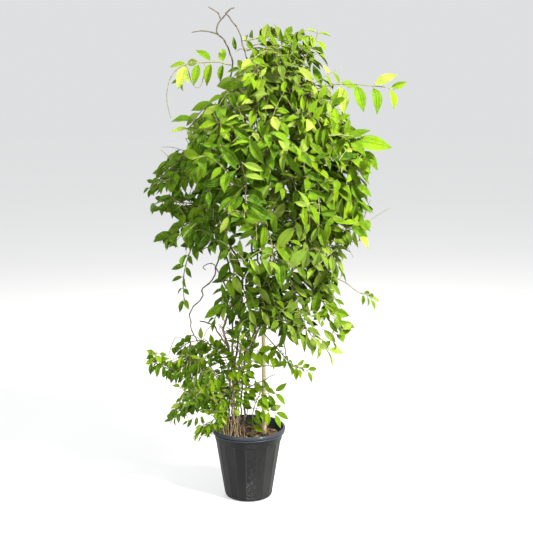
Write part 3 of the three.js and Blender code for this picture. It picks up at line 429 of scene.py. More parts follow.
class Route:
    """A smooth route through given points, read by the distance along it."""

    def __init__(self, points):
        given = np.array(points, float)
        posts = np.vstack([2 * given[0] - given[1], given, 2 * given[-1] - given[-2]])
        share = np.arange(1, STEPS_PER_SPAN + 1)[:, None] / STEPS_PER_SPAN
        places = [given[:1]]
        for before, start, end, after in zip(posts, posts[1:], posts[2:], posts[3:]):
            leave, arrive = (end - before) / 2, (after - start) / 2
            places.append(
                start + leave * share
                + (3 * (end - start) - 2 * leave - arrive) * share**2
                + (2 * (start - end) + leave + arrive) * share**3
            )
        self.places = np.vstack(places)
        steps = np.linalg.norm(np.diff(self.places, axis=0), axis=1)
        self.reach = np.concatenate([[0], np.cumsum(steps)])
        self.length = self.reach[-1]
        self.marks = self.reach[::STEPS_PER_SPAN]

    def at(self, distance):
        return np.array([np.interp(distance, self.reach, axis) for axis in self.places.T])

    def nearest(self, point):
        return self.places[np.argmin(np.linalg.norm(self.places - np.array(point, float), axis=1))]

    def heading(self, distance):
        return unit(self.at(distance + 1) - self.at(distance - 1))


def across(heading, before, wanted):
    """The direction square to a heading and to a wanted one, which turns little from place to place."""
    side = cross(heading, wanted)
    if np.linalg.norm(side) < 0.3:
        side = np.array([1.0, 0, 0]) if before is None else before
    side = unit(side)
    if before is not None:
        side = (side if side @ before >= 0 else -side) + before
    return unit(side - heading * (side @ heading))


def spread(low, high, step):
    """Even steps from low, left out, to high."""
    count = max(1, math.ceil((high - low) / step))
    return [low + (high - low) * (index + 1) / count for index in range(count)]


def stem_rings(route, radii):
    """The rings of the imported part's stem, as (centre, corners)."""
    stations = [0.0]
    for mark in route.marks[1:]:
        stations += spread(stations[-1], mark, STEM_STEP)
    rings = []
    side = None
    for distance in stations:
        heading = route.heading(distance)
        side = across(heading, side, np.array([0.0, 1, 0]) if side is None else cross(side, heading))
        up = cross(heading, side)
        radius = radii[0] + (radii[1] - radii[0]) * distance / route.length
        angles = [2 * math.pi * corner / STEM_SIDES for corner in range(STEM_SIDES)]
        centre = route.at(distance)
        corners = [centre + radius * (side * math.cos(a) + up * math.sin(a)) for a in angles]
        rings.append((centre, np.array(corners)))
    return rings


def rooted(x, y, points):
    return [[x, y, ROOT_DEPTH], [x, y, ABOVE_SOIL], [x, y, ABOVE_SOIL + UPRIGHT], *points]


def twined(low, high, rise, reach):
    """Points round the bamboo cane, a quarter turn apart."""
    points = []
    for quarter, height in enumerate(range(low, high + 1, rise), start=-1):
        share = (height - STAKE_FOOT[2]) / (STAKE_TOP[2] - STAKE_FOOT[2])
        centre = STAKE_FOOT + (STAKE_TOP - STAKE_FOOT) * share
        angle = quarter * math.pi / 2
        points.append([centre[0] + reach * math.cos(angle), reach * math.sin(angle), height])
    return points


def shoot_row(name, carrier, leaf, pitch, first, colour, points, **extras):
    """A row of the tables: its carrier is a stem's name, or where it comes out of the potting mix."""
    row = {"name": name, "leaf": leaf, "pitch": pitch, "first": first, "points": points, **extras}
    row["on" if isinstance(carrier, str) else "root"] = carrier
    if colour:
        row["colour"] = colour
    return row


# Stems: radii at the root and the tip, the points of the stem, and the bare twigs that it carries
CANES = {
    "cane_left": {
        "radii": (4.6, 2.4),
        "points": rooted(-62, 12, [
            (-60, 14, 400), (-46, 18, 540), (-30, 16, 660), (-24, 8, 770), (-26, -10, 870),
            (-72, -20, 983), (-129, -30, 1112), (-143, -20, 1256), (-113, 0, 1415), (-66, 5, 1539),
            (-55, 5, 1627), (-79, 0, 1689), (-101, 0, 1714), (-107, 2, 1736), (-94, 5, 1767),
            (-75, 2, 1786), (-57, 0, 1803), (-43, -3, 1807),
        ]),
        "twigs": [
            ((2.6, 1.6), [(-101, 0, 1714), (-129, -10, 1724), (-165, -20, 1726), (-197, -25, 1720)]),
            ((2.3, 1.5), [(-94, 5, 1767), (-100, 7, 1788), (-115, 9, 1797), (-139, 10, 1812)]),
            ((2.8, 1.8), [
                (-82, -22, 1003), (-104, -30, 930), (-122, -33, 855), (-145, -37, 824), (-168, -40, 800),
                (-166, -40, 778), (-197, -50, 742), (-214, -50, 711), (-212, -50, 684), (-202, -50, 646),
                (-184, -50, 605),
            ]),
            ((2.2, 1.4), [
                (-95, -24, 1033), (-112, -44, 975), (-132, -48, 966), (-155, -50, 959), (-177, -52, 946),
                (-195, -55, 965),
            ]),
        ],
    },
    "cane_front": {
        "radii": (4.8, 2.2),
        "points": rooted(-76, -24, [
            (-70, -38, 390), (-63, -45, 520), (-76, -47, 600), (-90, -45, 656), (-73, -44, 712),
            (-48, -48, 767), (-28, -55, 828), (5, -66, 900), (18, -105, 980), (14, -135, 1080),
            (11, -150, 1212), (18, -120, 1367), (17, -75, 1504), (-1, -48, 1622), (-15, -44, 1681),
            (-32, -46, 1729), (-50, -45, 1757), (-78, -42, 1789),
        ]),
        "twigs": [
            ((3, 2.4), [
                (-72, -46, 585), (-96, -52, 623), (-124, -60, 671), (-153, -65, 685), (-178, -70, 692),
            ]),
            ((2.2, 1.4), [
                (-44, -50, 775), (-88, -56, 830), (-116, -62, 895), (-141, -64, 902), (-163, -64, 892),
                (-150, -64, 878),
            ]),
        ],
    },
    "cane_right": {
        "radii": (5, 2.4),
        "points": rooted(-43, -25, [
            (-42, -22, 377), (-35, -18, 511), (-17, 0, 623), (5, 18, 707), (32, 28, 780), (75, 30, 845),
            (129, 20, 920), (183, 10, 1034), (225, -10, 1201), (224, -10, 1380), (188, 0, 1500),
            (170, 0, 1571), (159, 0, 1626), (155, 0, 1661), (160, 4, 1690),
        ]),
        "twigs": [
            ((2.8, 2), [
                (66, 31, 832), (86, 8, 790), (88, -20, 725), (112, -27, 667), (128, -30, 637),
                (136, -35, 593), (140, -40, 551),
            ]),
        ],
    },
    "cane_back": {
        "radii": (4.4, 2.2),
        "points": rooted(-30, 22, [
            (-26, 30, 400), (-10, 44, 560), (25, 58, 700), (60, 66, 800), (84, 84, 900),
            (100, 120, 1039), (81, 160, 1224), (51, 145, 1394), (52, 95, 1522), (76, 60, 1620),
        ]),
        "twigs": [],
    },
    "cane_back_left": {
        "radii": (4.4, 2.2),
        "points": rooted(-54, 42, [
            (-60, 55, 400), (-62, 70, 560), (-60, 85, 720), (-78, 105, 880), (-118, 130, 1040),
            (-135, 145, 1200), (-100, 125, 1370), (-45, 85, 1500), (-5, 55, 1610),
        ]),
        "twigs": [],
    },
    "cane_side": {
        "radii": (4.4, 2.2),
        "points": rooted(-14, 2, [
            (-9, 8, 400), (8, 24, 520), (32, 38, 620), (85, 40, 715), (140, 44, 800), (195, 70, 920),
            (235, 90, 1060), (225, 95, 1230), (175, 85, 1390), (130, 60, 1500),
        ]),
        "twigs": [
            ((2.2, 1.5), [(50, 40, 655), (74, 26, 640), (98, 12, 668), (116, 2, 640)]),
        ],
    },
    "cane_twining": {
        "radii": (4.2, 2.2),
        "points": rooted(-16, -26, [
            (-12, -26, 400), (2, -27, 540), (26, -27, 650), *twined(735, 1500, 62, 22),
        ]),
        "twigs": [
            ((2.2, 1.6), [(0, -27, 512), (30, -36, 514), (59, -40, 516), (112, -50, 514)]),
            ((2.2, 1.5), [(-10, -27, 425), (14, -32, 436), (59, -40, 461), (102, -50, 487)]),
        ],
    },
}

# Shoots that show outside the crown: name, carrier, leaf length, distance between leaf pairs and before
# the first pair, colour, route. The colours are partly painted light: lit and shaded copies of one leaf,
# brighter on the right and darker on the left.
SIDE_SHOOTS = [
    shoot_row(
        "runner_right", "cane_right", 78, 60, 150, "bright",
        [
            (212, -10, 1500), (233, -20, 1518), (270, -30, 1532), (316, -40, 1541), (369, -50, 1542),
            (440, -60, 1535), (490, -60, 1530), (520, -60, 1522),
        ],
        sag=0.9, face=(0.1, -1, 0.35),
    ),
    shoot_row(
        "arch_left", "cane_left", 70, 44, 30, "bright",
        [
            (-104, -15, 1619), (-153, -20, 1617), (-202, -25, 1614), (-244, -30, 1596), (-271, -30, 1564),
            (-283, -30, 1525), (-286, -25, 1486), (-280, -20, 1448), (-273, -20, 1420),
        ],
        last=170, face=(-0.3, -1, 0.5),
    ),
    shoot_row(
        "arch_top", "cane_front", 50, 24, 24, "bright",
        [(-4, -30, 1692), (36, -32, 1700), (87, -30, 1706), (122, -30, 1694), (150, -30, 1665)],
    ),
    shoot_row(
        "shoot_top_right", "cane_right", 52, 26, 24, "bright",
        [(188, -6, 1650), (215, -12, 1664), (238, -15, 1684), (250, -20, 1730)],
        face=FRONT_RIGHT,
    ),
    shoot_row(
        "shoot_right_upper", "cane_right", 104, 42, 50, "bright",
        [(262, -30, 1388), (300, -50, 1380), (360, -70, 1352), (412, -80, 1300)],
        face=FRONT_RIGHT,
    ),
    shoot_row(
        "shoot_right_high", "cane_right", 92, 40, 40, "bright",
        [(262, -6, 1300), (310, 0, 1290), (365, 0, 1240), (400, -10, 1180)],
    ),
    shoot_row(
        "shoot_right_middle", "cane_right", 84, 38, 40, "bright",
        [(262, -50, 1208), (300, -80, 1210), (345, -100, 1170), (380, -110, 1115)],
        face=FRONT_RIGHT,
    ),
    shoot_row(
        "shoot_right_low", "cane_right", 80, 36, 40, "mid",
        [(225, -30, 1075), (269, -50, 1062), (320, -65, 1052), (372, -75, 1030), (415, -80, 1026)],
        face=FRONT_RIGHT,
    ),
    shoot_row(
        "shoot_right_hanging", "cane_right", 78, 34, 50, "pale",
        [(200, -60, 1010), (250, -90, 1000), (296, -100, 960), (318, -105, 900)],
    ),
    shoot_row(
        "vine_right_low", "cane_side", 66, 34, 40, "mid",
        [
            (215, 30, 905), (268, -20, 900), (313, -40, 853), (360, -52, 828), (404, -60, 796),
            (450, -60, 787),
        ],
        last=190, face=FRONT_RIGHT,
    ),
    shoot_row(
        "spray_right_long", "cane_right", 66, 37, 90, "pale",
        [
            (150, -60, 850), (160, -115, 815), (178, -150, 765), (196, -165, 712), (221, -170, 671),
            (256, -175, 634), (290, -178, 606),
        ],
    ),
    shoot_row(
        "spray_right_short", "cane_side", 64, 32, 50, "bright",
        [(195, 30, 830), (232, -10, 800), (278, -40, 752), (318, -60, 706), (352, -60, 670)],
        face=FRONT_RIGHT,
    ),
    shoot_row(
        "shoot_left_top", "cane_left", 72, 34, 30, "mid",
        [(-112, -20, 1470), (-145, -35, 1465), (-185, -50, 1420), (-215, -60, 1365)],
        face=FRONT_LEFT,
    ),
    shoot_row(
        "shoot_left_upper", "cane_left", 74, 34, 30, "mid",
        [(-170, -30, 1300), (-205, -40, 1290), (-255, -45, 1262), (-300, -50, 1225)],
        face=FRONT_LEFT,
    ),
    shoot_row(
        "spray_left_fine", "cane_left", 46, 27, 60, "deep",
        [(-185, -45, 1225), (-235, -60, 1215), (-285, -70, 1206), (-325, -75, 1196), (-350, -75, 1174)],
        face=FRONT_LEFT,
    ),
    shoot_row(
        "spray_left_low", "cane_left", 50, 25, 50, "mid",
        [(-175, -20, 1118), (-215, -20, 1118), (-265, -20, 1122), (-310, -25, 1124), (-344, -30, 1112)],
        face=FRONT_LEFT,
    ),
    shoot_row(
        "shoot_left_low", "cane_left", 66, 32, 30, "mid",
        [(-150, -60, 1075), (-190, -75, 1060), (-245, -85, 1035), (-290, -90, 1005)],
        face=FRONT_LEFT,
    ),
    shoot_row(
        "vine_left_hanging", "cane_left", 46, 42, 60, "mid",
        [
            (-120, -60, 1045), (-165, -80, 1020), (-200, -85, 965), (-221, -85, 905), (-232, -80, 850),
            (-232, -75, 790), (-226, -75, 752),
        ],
        face=FRONT_LEFT,
    ),
    shoot_row(
        "spray_centre_low", "cane_front", 58, 36, 40, "bright",
        [(-40, -85, 870), (-74, -110, 838), (-88, -122, 785), (-108, -128, 735), (-128, -130, 690)],
    ),
    shoot_row(
        "shoot_stake_front", "cane_front", 60, 36, 40, "bright",
        [(30, -110, 880), (40, -135, 830), (56, -140, 780), (72, -140, 730), (70, -136, 690)],
    ),
    shoot_row(
        "vine_stake_right", "cane_twining", 46, 24, 110, "bright",
        [(50, -50, 650), (85, -58, 612), (112, -62, 582), (140, -64, 548), (168, -68, 520), (206, -70, 516)],
    ),
]

# Low bush of smaller leaves at the left, on stems of its own from the potting mix
BUSH_SHOOTS = [
    shoot_row(
        "bush_top_left", (-92, 22), 40, 19, 330, "bright",
        [
            (-100, 10, 340), (-126, -20, 405), (-180, -60, 462), (-235, -85, 496), (-290, -100, 520),
            (-348, -112, 552),
        ],
        every=2, radius=3, face=FRONT_LEFT,
    ),
    shoot_row(
        "bush_crest", (-72, 28), 42, 20, 380, "mid",
        [
            (-80, 24, 360), (-96, 10, 460), (-116, -10, 550), (-160, -30, 604), (-215, -45, 606),
            (-262, -55, 575),
        ],
        every=2, radius=3, face=FRONT_LEFT,
    ),
    shoot_row(
        "bush_middle", (-96, -24), 42, 19, 220, "bright",
        [(-106, -34, 340), (-120, -60, 410), (-146, -90, 480), (-190, -110, 540), (-222, -120, 560)],
        every=2, radius=3, face=FRONT_LEFT,
    ),
    shoot_row(
        "bush_front", (-84, -42), 42, 20, 170, "bright",
        [(-90, -60, 330), (-110, -100, 385), (-140, -140, 430), (-185, -165, 455), (-222, -175, 440)],
        every=2, radius=3,
    ),
    shoot_row(
        "bush_low_left", (-104, -6), 40, 19, 170, "mid",
        [(-118, -14, 330), (-150, -34, 372), (-200, -60, 392), (-248, -76, 362), (-276, -84, 326)],
        every=2, radius=2.8, face=FRONT_LEFT,
    ),
    shoot_row(
        "bush_back", (-80, 48), 42, 20, 230, "mid",
        [(-96, 62, 350), (-124, 74, 440), (-168, 72, 506), (-220, 56, 520), (-266, 40, 486)],
        every=2, radius=3,
    ),
    shoot_row(
        "bush_front_low", "bush_front", 38, 18, 40, None,
        [(-104, -88, 306), (-132, -120, 316), (-164, -146, 304), (-192, -158, 272)],
        every=2, branch=True,
    ),
    shoot_row(
        "sprout_stake", (16, -30), 44, 33, 100, "bright",
        [(18, -40, 340), (34, -52, 390), (52, -52, 430), (70, -56, 452)],
        radius=2.4,
    ),
]

# Sprigs of the finish alone: the piece they belong to, carrier, leaf length (0 for a bare strand), distance
# between pairs, how much the leaves hang, route
SPRIGS = [
    ("spray_centre_low", "cane_front", 46, 22, 0.4, [
        (-59, -60, 573), (1, -90, 588), (52, -100, 584), (103, -95, 567),
    ]),
    ("shoot_stake_front", "cane_front", 42, 20, 0.4, [(-37, -60, 600), (-28, -80, 661), (8, -95, 683)]),
    ("sprout_stake", "sprout_stake", 52, 26, 0.4, [(22, -50, 380), (51, -70, 412), (103, -80, 427)]),
    ("sprout_stake", "sprout_stake", 50, 26, 0.4, [(20, -45, 354), (59, -70, 360), (103, -75, 341)]),
    ("bush_middle", "cane_front", 40, 18, 0.4, [(-81, -60, 497), (-44, -80, 518), (-7, -90, 506)]),
    ("spray_centre_low", "cane_left", 54, 28, 0.4, [(-72, -60, 768), (-43, -80, 728), (-28, -90, 693)]),
    ("shoot_stake_front", "cane_front", 62, 30, 0.4, [(-20, -75, 850), (-8, -100, 790), (6, -110, 740)]),
    ("spray_right_long", "cane_right", 64, 30, 0.4, [(99, -60, 768), (124, -80, 717), (135, -90, 656)]),
    ("spray_right_long", "cane_right", 70, 34, 0.4, [(60, -40, 860), (84, -90, 800), (96, -110, 740)]),
    ("vine_right_low", "vine_right_low", 34, 17, 0.4, [(410, -60, 796), (432, -62, 786), (452, -60, 772)]),
    ("vine_stake_right", "vine_stake_right", 40, 22, 0.4, [
        (172, -68, 524), (196, -70, 512), (222, -68, 505),
    ]),
    ("arch_top", "cane_front", 66, 24, -0.8, [
        (-7, -50, 1662), (45, -50, 1682), (105, -45, 1694), (158, -40, 1690), (204, -35, 1672),
    ]),
    ("arch_top", "cane_front", 70, 34, -0.5, [
        (0, -60, 1560), (50, -85, 1600), (100, -95, 1612), (150, -90, 1600),
    ]),
    ("shoot_top_right", "cane_right", 62, 30, -0.6, [(168, -30, 1600), (205, -40, 1640), (236, -40, 1664)]),
    ("arch_top", "cane_front", 84, 40, 0.5, [(-10, -60, 1560), (-39, -80, 1545), (-48, -90, 1520)]),
    ("arch_left", "arch_left", 0, 0, 0, [
        (-218, -25, 1608), (-220, -22, 1604), (-207, -20, 1581), (-190, -18, 1535), (-168, -18, 1535),
        (-150, -16, 1581), (-150, -16, 1605), (-153, -20, 1617),
    ]),
    ("bush_crest", "cane_front", 34, 15, 0.4, [
        (-66, -50, 330), (-52, -64, 392), (-60, -76, 448), (-84, -86, 486),
    ]),
    ("bush_crest", "cane_right", 34, 15, 0.4, [
        (-40, -34, 340), (-24, -48, 402), (-30, -60, 460), (-48, -66, 506),
    ]),
    ("bush_crest", "cane_left", 36, 16, 0.4, [
        (-60, 2, 380), (-90, -30, 430), (-124, -58, 452), (-150, -76, 448),
    ]),
    ("bush_crest", "cane_right", 32, 15, 0.3, [
        (-38, -20, 430), (-10, -30, 480), (10, -40, 520), (24, -46, 566),
    ]),
    ("bush_crest", "cane_front", 34, 15, 0.3, [
        (-62, -50, 480), (-80, -60, 540), (-104, -70, 580), (-130, -74, 600),
    ]),
    ("arch_left", "arch_left", 36, 30, 0.4, [(-207, -24, 1581), (-222, -26, 1566), (-236, -24, 1552)]),
]

# Leaves that stand out at the front, by where the camera sees their foot and their tip, in pixels of a
# picture 533 pixels wide. B is bright, M middling, D deep green and P pale: each leaf's tone as it looks,
# partly its colour and partly painted light and shade.
B, M, D, P = "bmdp"
SEEN_LEAVES = [
    (229, 94, 239, 113, M), (216, 119, 203, 114, B), (220, 120, 216, 102, M), (200, 129, 185, 129, P),
    (202, 144, 219, 146, B), (203, 130, 199, 156, D), (221, 146, 240, 165, B), (222, 151, 238, 170, M),
    (233, 127, 252, 140, M), (244, 164, 264, 171, P), (246, 176, 265, 179, P), (247, 165, 238, 176, B),
    (236, 179, 245, 189, B), (241, 190, 235, 204, B), (270, 185, 262, 200, P), (271, 185, 281, 199, M),
    (270, 173, 268, 187, M), (226, 192, 212, 203, M), (187, 158, 181, 176, M), (178, 160, 162, 171, M),
    (258, 120, 263, 138, B), (268, 123, 263, 138, B), (250, 139, 264, 165, M), (303, 95, 305, 113, B),
    (293, 92, 294, 112, B), (323, 106, 311, 120, B), (326, 102, 323, 122, B), (345, 98, 330, 105, M),
    (339, 120, 351, 114, B), (349, 119, 344, 136, B), (331, 118, 334, 132, B), (347, 139, 371, 129, B),
    (345, 138, 331, 159, B), (332, 160, 360, 153, D), (352, 160, 373, 173, B), (356, 168, 369, 182, P),
    (352, 165, 358, 186, B), (356, 184, 372, 197, B), (352, 184, 361, 203, M), (326, 172, 344, 178, B),
    (301, 152, 313, 168, M), (316, 160, 330, 152, M), (287, 154, 302, 176, B), (284, 153, 282, 173, P),
    (320, 128, 317, 147, B), (327, 126, 323, 147, B), (307, 134, 308, 149, B), (297, 128, 289, 141, D),
    (302, 170, 294, 183, B), (306, 172, 324, 182, D), (318, 182, 335, 194, M), (309, 190, 326, 198, M),
    (287, 177, 290, 193, P), (333, 192, 327, 205, P), (228, 217, 220, 234, P), (226, 233, 227, 249, B),
    (230, 213, 244, 217, B), (214, 205, 215, 223, D), (206, 211, 201, 236, M), (196, 232, 197, 246, M),
    (210, 230, 215, 243, D), (255, 213, 263, 222, P), (263, 224, 251, 238, M), (271, 212, 275, 236, B),
    (284, 203, 272, 222, B), (294, 228, 274, 250, M), (288, 201, 295, 225, D), (296, 222, 300, 240, P),
    (264, 226, 263, 252, B), (240, 240, 242, 258, P), (230, 252, 238, 270, B), (250, 259, 260, 275, P),
    (262, 259, 272, 277, P), (269, 262, 281, 271, P), (229, 263, 217, 281, M), (228, 249, 217, 261, M),
    (232, 264, 245, 279, B), (228, 281, 234, 299, B), (233, 276, 242, 295, P), (222, 284, 226, 299, M),
    (247, 287, 262, 292, B), (259, 288, 272, 305, P), (305, 249, 287, 270, P), (308, 250, 302, 271, B),
    (319, 252, 314, 268, P), (320, 253, 329, 270, M), (317, 228, 311, 243, P), (319, 227, 326, 249, M),
    (329, 227, 346, 231, B), (333, 241, 350, 243, M), (336, 252, 348, 259, B), (331, 256, 333, 274, B),
    (346, 230, 351, 246, P), (354, 231, 358, 248, P), (320, 213, 339, 211, M), (310, 205, 321, 225, B),
    (303, 207, 306, 228, B), (342, 199, 341, 219, P), (357, 203, 353, 221, M), (329, 270, 312, 290, B),
    (293, 270, 286, 283, M), (293, 272, 302, 286, P), (290, 282, 281, 292, M), (296, 291, 281, 299, M),
    (296, 288, 308, 298, P), (298, 301, 285, 315, M), (319, 291, 313, 315, B), (335, 299, 345, 305, B),
    (322, 283, 332, 296, P), (331, 284, 341, 296, P), (292, 330, 297, 347, B), (300, 335, 305, 353, P),
    (308, 337, 313, 353, P), (315, 338, 322, 350, P), (322, 340, 329, 350, B), (317, 313, 320, 325, B),
    (327, 312, 330, 323, B), (337, 313, 341, 327, B), (250, 310, 256, 327, P), (236, 50, 233, 36, M),
    (266, 46, 258, 34, B), (277, 46, 267, 33, B), (283, 43, 279, 28, B), (291, 43, 286, 32, B),
    (292, 52, 296, 37, M), (303, 53, 314, 37, M), (308, 46, 302, 37, P), (270, 63, 267, 49, B),
    (258, 59, 251, 46, B), (321, 85, 313, 64, B), (331, 85, 325, 73, P), (339, 83, 333, 71, P),
    (295, 112, 292, 92, B), (278, 108, 267, 89, M), (303, 110, 302, 96, B), (308, 113, 318, 99, B),
    (332, 103, 339, 88, B), (318, 100, 327, 82, B), (259, 77, 267, 67, P), (239, 68, 227, 72, M),
    (245, 87, 229, 83, B), (152, 363, 150, 376, M), (157, 364, 157, 378, M), (163, 366, 164, 379, B),
    (169, 368, 170, 381, M), (174, 369, 176, 383, M), (180, 371, 181, 384, B), (186, 372, 188, 386, M),
    (153, 361, 147, 365, B), (183, 349, 176, 356, M), (187, 347, 181, 357, M), (192, 346, 187, 356, D),
    (197, 345, 192, 354, M), (202, 344, 198, 352, M), (207, 343, 204, 351, M), (212, 342, 210, 349, B),
    (186, 368, 181, 377, M), (190, 366, 186, 378, D), (195, 363, 192, 375, M), (200, 361, 199, 374, B),
    (205, 359, 205, 371, M), (210, 356, 211, 368, M), (215, 353, 217, 364, B), (192, 380, 187, 390, M),
    (197, 377, 193, 390, B), (202, 375, 200, 388, D), (207, 373, 207, 386, M), (212, 371, 213, 384, B),
    (205, 386, 208, 400, B), (212, 382, 212, 395, B), (217, 378, 219, 392, B), (223, 372, 223, 386, M),
    (228, 370, 229, 384, B), (233, 372, 236, 383, P), (182, 398, 175, 403, M), (187, 395, 182, 404, M),
    (191, 392, 188, 402, D), (196, 390, 195, 400, B), (178, 411, 171, 417, M), (183, 409, 179, 418, M),
    (188, 407, 185, 417, B), (193, 405, 192, 416, M), (198, 403, 199, 412, M), (188, 421, 182, 425, M),
    (192, 419, 187, 428, D), (197, 417, 195, 427, M), (202, 416, 203, 425, B), (200, 428, 194, 435, B),
    (204, 426, 201, 437, M), (208, 425, 208, 436, B), (213, 424, 218, 432, B), (222, 304, 204, 319, B),
    (226, 306, 222, 322, P), (229, 305, 216, 310, M), (243, 322, 238, 331, P), (250, 324, 254, 335, P),
    (245, 333, 238, 341, P), (248, 336, 256, 343, P), (262, 312, 270, 327, P), (249, 352, 258, 343, D),
    (256, 358, 267, 347, B), (268, 360, 276, 348, B), (288, 362, 273, 367, B), (276, 351, 281, 361, M),
    (240, 300, 232, 312, M), (247, 306, 240, 318, B), (283, 322, 287, 338, M), (287, 325, 297, 338, B),
    (283, 312, 296, 320, M), (292, 316, 306, 326, P), (330, 320, 338, 334, B), (324, 330, 336, 343, B),
]

# Crown shoots: name, carrier, height, compass angle, reach, drop, leaf length and colour. The colours are
# partly painted light: bright shoots on the lit right, deep ones on the shaded left.
CROWN_SHOOTS = [
    ("top_centre", "cane_front", 1640, 5, 140, 30, 60, "bright"),
    ("front_peak", "cane_front", 1570, -70, 150, 40, 70, "bright"),
    ("front_crown", "cane_twining", 1450, -60, 210, 80, 78, "bright"),
    ("front_top_left", "cane_front", 1500, -140, 170, 70, 74, "mid"),
    ("front_top_right", "cane_right", 1500, -80, 190, 70, 78, "bright"),
    ("front_upper_left", "cane_front", 1410, -150, 190, 90, 78, "mid"),
    ("front_upper", "cane_front", 1360, -70, 190, 90, 80, "mid"),
    ("front_upper_right", "cane_right", 1400, -95, 240, 110, 80, "bright"),
    ("front_middle_left", "cane_left", 1270, -65, 230, 120, 78, "deep"),
    ("front_middle", "cane_front", 1210, -95, 190, 110, 80, "mid"),
    ("front_middle_right", "cane_right", 1240, -85, 240, 130, 82, "bright"),
    ("front_low_left", "cane_front", 1090, -145, 180, 110, 74, "deep"),
    ("front_low", "cane_front", 1050, -60, 170, 110, 76, "mid"),
    ("front_low_right", "cane_right", 1100, -90, 230, 130, 76, "pale"),
    ("back_peak", "cane_back", 1560, 80, 150, 60, 70, "bright"),
    ("back_upper_left", "cane_back_left", 1420, 120, 190, 100, 78, "mid"),
    ("back_upper_right", "cane_side", 1420, 40, 200, 100, 78, "bright"),
    ("back_middle_left", "cane_back_left", 1250, 165, 190, 110, 78, "deep"),
    ("back_middle", "cane_back", 1270, 95, 190, 120, 80, "mid"),
    ("back_middle_right", "cane_side", 1210, 20, 190, 120, 80, "bright"),
    ("back_low_left", "cane_back_left", 1080, 115, 190, 130, 74, "deep"),
    ("back_low_right", "cane_back", 1060, 60, 200, 140, 76, "mid"),
]

# Branches of crown shoots, joined to the shoot that they grow from
CROWN_BRANCHES = [
    shoot_row(
        "front_upper_side", "front_upper", 74, 44, 40, None,
        [(8, -196, 1384), (-38, -226, 1356), (-78, -246, 1290)],
        branch=True,
    ),
    shoot_row(
        "front_upper_right_side", "front_upper_right", 76, 46, 40, None,
        [(184, -112, 1416), (146, -160, 1384), (112, -200, 1310)],
        branch=True,
    ),
    shoot_row(
        "back_middle_side", "back_middle", 76, 46, 40, None,
        [(98, 240, 1286), (150, 262, 1256), (194, 266, 1186)],
        branch=True,
    ),
]


STEMS = {name: stem_rings(Route(cane["points"]), cane["radii"]) for name, cane in CANES.items()}


def arching(carrier, height, angle, reach, drop):
    """Points of a crown shoot that leaves its stem at a height and arches out and down."""
    centres = [centre for centre, _ in STEMS[carrier]]
    above = next(index for index, centre in enumerate(centres) if centre[2] > height)
    low, high = centres[above - 1], centres[above]
    start = low + (high - low) * (height - low[2]) / (high[2] - low[2])
    out = np.array([math.cos(math.radians(angle)), math.sin(math.radians(angle)), 0])
    steps = [(0.3, 18 + reach * 0.06), (0.68, 14 + reach * 0.04 - drop * 0.25), (1, -drop)]
    return [start + out * reach * share + UP * rise for share, rise in steps]


CROWN = [
    {
        "name": name, "on": on, "leaf": leaf, "colour": colour, "pitch": leaf * 0.6, "first": 36,
        "points": arching(on, height, angle, reach, drop),
    }
    for name, on, height, angle, reach, drop, leaf, colour in CROWN_SHOOTS
]
SHOOTS = SIDE_SHOOTS + BUSH_SHOOTS + CROWN + CROWN_BRANCHES


def shoot_route(shoot):
    """The route of a shoot from the soil, or from the stretch of stem that lies nearest its first point."""
    if "root" in shoot:
        return Route(rooted(*shoot["root"], shoot["points"]))
    aim = np.array(shoot["points"][0], float)
    seats = []
    rings = STEMS[shoot["on"]]
    for (low, low_corners), (high, high_corners) in zip(rings, rings[1:]):
        chord = high - low
        share = min(0.8, max(0.2, (aim - low) @ chord / (chord @ chord)))
        seats.append((low + chord * share, share, chord, low_corners, high_corners))
    nearest = min(seats, key=lambda seat: np.linalg.norm(seat[0] - aim))
    centre, share, chord, low_corners, high_corners = nearest
    if "branch" in shoot:
        return Route([centre, *shoot["points"]])
    heading = unit(chord)
    out = aim - centre
    out = unit(out - heading * (out @ heading))
    reach = max((low_corners + (high_corners - low_corners) * share - centre) @ out)
    start = centre + out * (reach + SEAT_GAP)
    return Route([start, start + out * SEAT_STEP, *shoot["points"]])


def shoot_stations(shoot, route, radii):
    """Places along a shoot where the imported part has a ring, with the number of the leaf pair there."""
    last = min(shoot.get("last", math.inf), route.length - HOLD_BACK)
    pitch = shoot["pitch"] * shoot.get("every", 1)
    nodes = []
    distance = shoot["first"]
    while distance <= last:
        nodes.append(distance)
        distance += pitch
    if last - nodes[-1] > pitch * 0.7:
        nodes.append(last)
    stations = [{"distance": 0}]

    def fill(until):
        start = stations[-1]["distance"]
        if until - start > BUD_LENGTH:
            stations.extend({"distance": place} for place in spread(start, until, SHOOT_STEP)[:-1])

    for order, distance in enumerate(nodes, start=1):
        fill(distance - NODE_LENGTH / 2)
        start = distance - NODE_LENGTH / 2
        stations.append({"distance": start, "pair": order, "last": distance == nodes[-1]})
        stations.append({"distance": distance + NODE_LENGTH / 2})
    if route.length - nodes[-1] > BARE_END:
        fill(route.length - BUD_LENGTH)
        stations.append({"distance": route.length - BUD_LENGTH})
    for station in stations:
        station["radius"] = radii[0] + (radii[1] - radii[0]) * station["distance"] / route.length
        station["centre"] = route.at(station["distance"])
    return stations


def facing(centre):
    """Out from the crown's axis and up."""
    away = unit(centre[:2] - CROWN_AXIS)
    return np.array([away[0], away[1], 0]) * FACE_OUT + UP * FACE_UP


def turned(start, towards, degrees):
    """A direction turned from one to another that is square to it."""
    return start * math.cos(math.radians(degrees)) + towards * math.sin(math.radians(degrees))


